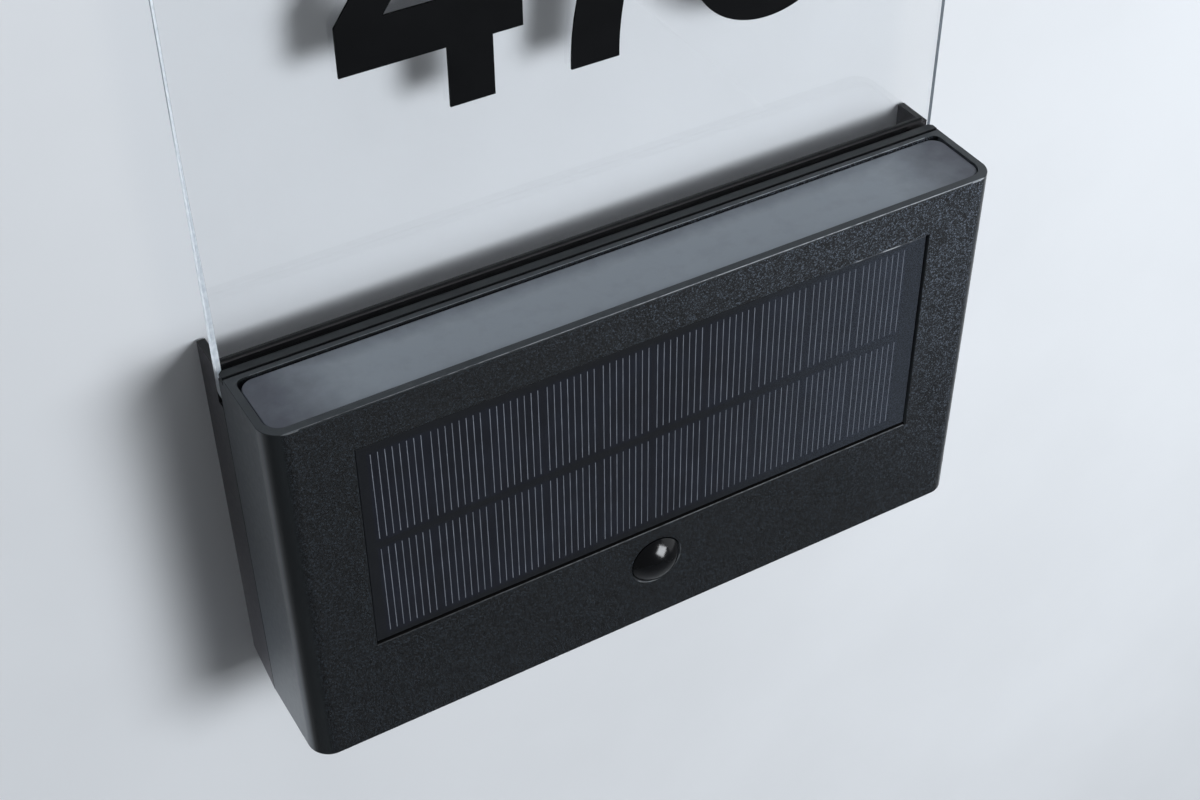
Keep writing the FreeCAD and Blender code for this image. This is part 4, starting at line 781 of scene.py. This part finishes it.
def acrylic():
    """Clear faces, pale edges, a painted glow band by the slot and painted shade on the foot."""
    finish = Finish("clear_acrylic")
    finish.set(Base_Color=CLEAR_TINT, Roughness=0.0, IOR=ACRYLIC_IOR, Transmission_Weight=1.0)
    point = finish.along()
    inwards = finish.math("SUBTRACT", point["X"], plate_low.x)
    slot_shade = finish.add("ShaderNodeBsdfPrincipled", Base_Color=SLOT_SHADE_BLACK, Roughness=0.9,
                         Specular_IOR_Level=0.1)
    passing = finish.add("ShaderNodeBsdfTransparent", Color=PASSING_TINT)
    passes = finish.either_ray("Is Shadow Ray", "Is Diffuse Ray")
    layers = finish.shader.outputs[0]
    for share, over in ((slot_shade_area(finish, point, inwards), slot_shade.outputs[0]),
                        (edge_and_glow_band(finish, point, inwards), edge_glow(finish, point)),
                        (passes, passing.outputs[0])):
        layers = finish.mixed(share, layers, over)
    finish.show(layers)
    return finish


wear("number_plate", acrylic())
print("plate finished, frosting", round(GLOW_BAND_REACH / MM, 1), "mm wide at the slot")

# %% [markdown]
# ## The numerals
# The house number is cut from thick black film and stuck on the plate's front. Film is flat and
# slightly orange-peeled, so a soft wide noise gives its highlights a gentle waver.

# %% Matte film numerals
FILM_BLACK = tone(8, 9, 11)
FILM_WORN = tone(12, 13, 15)
NUMERALS = ("numeral_left", "numeral_middle", "numeral_right")


def film():
    """Black cut film."""
    finish = Finish("numeral_black")
    waver = finish.bump(finish.noise(2.0 * MM, 2.0), 0.03 * MM, 0.4)
    shade = finish.blend(finish.ramp(finish.noise(14 * MM), *MOST_NOISE), FILM_BLACK, FILM_WORN)
    finish.set(Base_Color=shade, Roughness=0.55, Normal=waver, Specular_IOR_Level=0.06)
    return finish


numeral_film = film()
for numeral in NUMERALS:
    wear(numeral, numeral_film)
print(len(NUMERALS), "numerals finished")

# %% [markdown]
# ## Everything inside and behind
# Inner pieces show only at their edges or when the sign is taken apart, but each one still gets
# the finish of what it is made of. A table of colour, roughness, metal share and blotch size in
# millimetres is enough, because one function turns each row into slightly uneven material.

# %% Finishes for the inner pieces
INNER = {
    "plate_pads": ("soft_pad", (62, 63, 66), 0.8, 0.0, 1.5),
    "cover_gasket": ("seal_rubber", (7, 7, 8), 0.85, 0.0, 2.0),
    "diffuser_seal": ("seal_rubber", (9, 9, 10), 0.8, 0.0, 2.0),
    "cover_screws": ("screw_steel", (176, 176, 172), 0.32, 1.0, 0.8),
    "board_screws": ("screw_steel", (176, 176, 172), 0.32, 1.0, 0.8),
    "panel_cells": ("solar_cell", (22, 25, 40), 0.35, 0.0, 6.0),
    "panel_board": ("panel_backing", (36, 40, 46), 0.6, 0.0, 4.0),
    "panel_tape": ("foam_tape", (44, 44, 45), 0.9, 0.0, 1.0),
    "reflector_tray": ("tray_white", (226, 226, 222), 0.55, 0.0, 8.0),
    "led_board": ("led_board_white", (216, 219, 214), 0.45, 0.0, 5.0),
    "leds": ("led_yellow", (226, 204, 96), 0.35, 0.0, 0.8),
    "sensor_clamp_ring": ("ring_black", (32, 32, 33), 0.6, 0.0, 2.0),
    "pir_sensor": ("can_metal", (180, 180, 176), 0.28, 1.0, 1.5),
    "control_board": ("board_green", (22, 86, 52), 0.4, 0.0, 3.0),
    "board_components": ("component_black", (28, 28, 30), 0.5, 0.0, 1.2),
    "battery_holder": ("holder_black", (30, 30, 31), 0.55, 0.0, 3.0),
    "battery_cell": ("battery_wrap", (66, 120, 164), 0.3, 0.0, 10.0),
    "battery_contacts": ("contact_steel", (190, 188, 182), 0.3, 1.0, 1.0),
    "switch_body": ("switch_black", (30, 30, 31), 0.5, 0.0, 2.0),
    "switch_slider": ("switch_knob", (58, 58, 60), 0.5, 0.0, 0.8),
    "panel_leads": ("lead_red", (150, 28, 26), 0.45, 0.0, 3.0),
    "led_leads": ("lead_red", (150, 28, 26), 0.45, 0.0, 3.0),
    "battery_leads": ("lead_red", (150, 28, 26), 0.45, 0.0, 3.0),
    "switch_leads": ("lead_red", (150, 28, 26), 0.45, 0.0, 3.0),
}
WORN_SHADE = 0.82
ROUGHER = 0.06
SMOOTHER = 0.04


def plain_stock(name, colour, rough, metal, blotch):
    """Uneven stock material for a hidden piece."""
    finish = Finish(name)
    base = tone(*colour)
    patches = finish.ramp(finish.noise(blotch * MM, 4.0), 0.25, 0.75)
    shade = finish.blend(patches, brighter(base, WORN_SHADE), base)
    relief = finish.bump(finish.noise(0.3 * MM, 3.0), 0.02 * MM, 0.4)
    finish.set(Base_Color=shade, Metallic=metal, Normal=relief,
               Roughness=finish.ramp(patches, 0.0, 1.0, rough + ROUGHER, rough - SMOOTHER))
    return finish


for node, row in INNER.items():
    wear(node, plain_stock(*row))
print(len(INNER), "inner and small pieces finished")

# %% [markdown]
# ## The pale wall
# The sign hangs on a wall, so the set is one plain pale wall with a floor well below it. Seen
# from behind, the wall would hide the sign, so its shader turns clear when its back faces the
# ray. Short rays from the sign's own back pass through it too, within the bracket's outline,
# which keeps the back lit. Where the camera looks past the wall, straight or through the plate,
# the floor shows one even pale tone, and to all other rays it is painted like the wall.

# %% Wall and floor
WALL_PALE = tone(220, 222, 225)
WALL_HALF = 1.6
FLOOR_DROP = 1.6
FLOOR_HALF = 2 * WALL_HALF
SHORT_RAY = 0.03
BACKDROP = 0.72
BACKDROP_COOL = (0.94, 0.97, 1.0, 1.0)
WALL_GAP = 0.0003
wall_y = bracket_high.y + WALL_GAP


def plain_face(name, corners, finish):
    """A single flat face from its corners, painted with its finish."""
    mesh = bpy.data.meshes.new(name)
    mesh.from_pydata(corners, [], [tuple(range(len(corners)))])
    mesh.materials.append(finish.material)
    thing = bpy.data.objects.new(name, mesh)
    bpy.context.scene.collection.objects.link(thing)


def pale_paint(name):
    """Flat pale paint."""
    finish = Finish(name)
    patches = finish.ramp(finish.noise(120 * MM, 4.0), *MOST_NOISE)
    shade = finish.blend(patches, WALL_PALE, brighter(WALL_PALE, 1.05))
    finish.set(Base_Color=shade, Roughness=0.9, Specular_IOR_Level=0.1)
    return finish


def wall_paint():
    """Pale paint that is clear from behind and to short rays from the sign's back."""
    finish = pale_paint("pale_wall")
    behind = finish.add("ShaderNodeNewGeometry").outputs["Backfacing"]
    length = finish.add("ShaderNodeLightPath").outputs["Ray Length"]
    short = finish.math("LESS_THAN", length, SHORT_RAY)
    seen = finish.either_ray("Is Camera Ray", "Is Transmission Ray")
    point = finish.along()
    short = finish.times(short, finish.math("SUBTRACT", 1.0, seen),
                         finish.between(point["X"], bracket_low.x, bracket_high.x),
                         finish.between(point["Z"], bracket_low.z, bracket_high.z))
    passing = finish.add("ShaderNodeBsdfTransparent").outputs[0]
    clear = finish.math("MAXIMUM", behind, short)
    finish.show(finish.mixed(clear, finish.shader.outputs[0], passing))
    return finish


def floor_paint():
    """Pale paint that the camera sees as one even tone."""
    finish = pale_paint("pale_floor")
    seen = finish.either_ray("Is Camera Ray", "Is Transmission Ray")
    even = finish.add("ShaderNodeEmission", Color=BACKDROP_COOL, Strength=BACKDROP).outputs[0]
    finish.show(finish.mixed(seen, finish.shader.outputs[0], even))
    return finish


plain_face("pale_wall", [
    (-WALL_HALF, wall_y, -FLOOR_DROP), (WALL_HALF, wall_y, -FLOOR_DROP),
    (WALL_HALF, wall_y, WALL_HALF), (-WALL_HALF, wall_y, WALL_HALF)], wall_paint())
plain_face("pale_floor", [
    (-WALL_HALF, -FLOOR_HALF, -FLOOR_DROP), (WALL_HALF, -FLOOR_HALF, -FLOOR_DROP),
    (WALL_HALF, FLOOR_HALF, -FLOOR_DROP), (-WALL_HALF, FLOOR_HALF, -FLOOR_DROP)], floor_paint())
print("wall", 2 * WALL_HALF, "m wide and floor", FLOOR_DROP, "m below the sign set")

# %% [markdown]
# ## The surround
# The world lights the object evenly and dimly. To the camera, straight or through the plate, it
# shows the same pale tone as the floor, so the background is pale without more light on the sign.

# %% World
SURROUND = 0.105


def surround():
    """An even, faintly cool surround, dim as light and pale as a background."""
    world = bpy.data.worlds.new("soft_surround")
    world.use_nodes = True
    steps, links = world.node_tree.nodes, world.node_tree.links
    background = steps["Background"]
    background.inputs["Color"].default_value = BACKDROP_COOL
    path = steps.new("ShaderNodeLightPath").outputs
    seen = steps.new("ShaderNodeMath")
    seen.operation = "MAXIMUM"
    links.new(path["Is Camera Ray"], seen.inputs[0])
    links.new(path["Is Transmission Ray"], seen.inputs[1])
    strength = steps.new("ShaderNodeMapRange")
    links.new(seen.outputs[0], strength.inputs["Value"])
    strength.inputs["To Min"].default_value = SURROUND
    strength.inputs["To Max"].default_value = BACKDROP
    links.new(strength.outputs["Result"], background.inputs["Strength"])
    bpy.context.scene.world = world


surround()
print("surround lights at", SURROUND, "and shows at", BACKDROP)

# %% [markdown]
# ## Lamps
# A key on the right, little above the sign, makes the dome's window of light and the shadow on
# the wall. A wide card far to the right shows as a soft sheen that grows towards the face's upper
# right. It stands outside the directions that the clear plate mirrors, because a lamp there would
# paint a white patch on the plate. A large lamp far above lights the rim and the diffuser, and
# one behind the wall lights the back. The camera and the clear plate look through all of them,
# so that no lamp shows as a white shape.

# %% Soft lamps
LAMP_COOL = (0.93, 0.965, 1.0)
STAND = 1.08


def soft_lamp(name, place, size, power, tip=0.0):
    """A rectangular area lamp that looks at the sign, tipped about its own axis in degrees."""
    data = bpy.data.lights.new(name, "AREA")
    data.shape = "RECTANGLE"
    data.size, data.size_y = size
    data.energy = power
    data.color = LAMP_COOL
    lamp = bpy.data.objects.new(name, data)
    lamp.matrix_world = looking(place, -place, math.radians(tip))
    lamp.visible_camera = False
    lamp.visible_transmission = False
    bpy.context.scene.collection.objects.link(lamp)


def stands_at(right_of_front, above, distance=STAND):
    """A place around the sign, from two angles in degrees."""
    turn, rise = math.radians(right_of_front), math.radians(above)
    level = math.cos(rise)
    return distance * Vector((math.sin(turn) * level, -math.cos(turn) * level, math.sin(rise)))


soft_lamp("key_lamp", stands_at(25.5, 9.0), (0.52, 0.52), 11.3, tip=40.0)
soft_lamp("right_card", stands_at(76.0, 12.0, 1.6), (1.6, 1.6), 5.0)
soft_lamp("top_lamp", Vector((0.05, -0.35, 1.25)), (0.9, 0.5), 3.6)
soft_lamp("back_lamp", Vector((0.3, 1.2, -0.35)), (0.9, 0.9), 14.0)
print(len(bpy.data.lights), "lamps, the key", STAND, "m from the sign")

# %% [markdown]
# ## Finish

# %% Finish
print("scene finished")
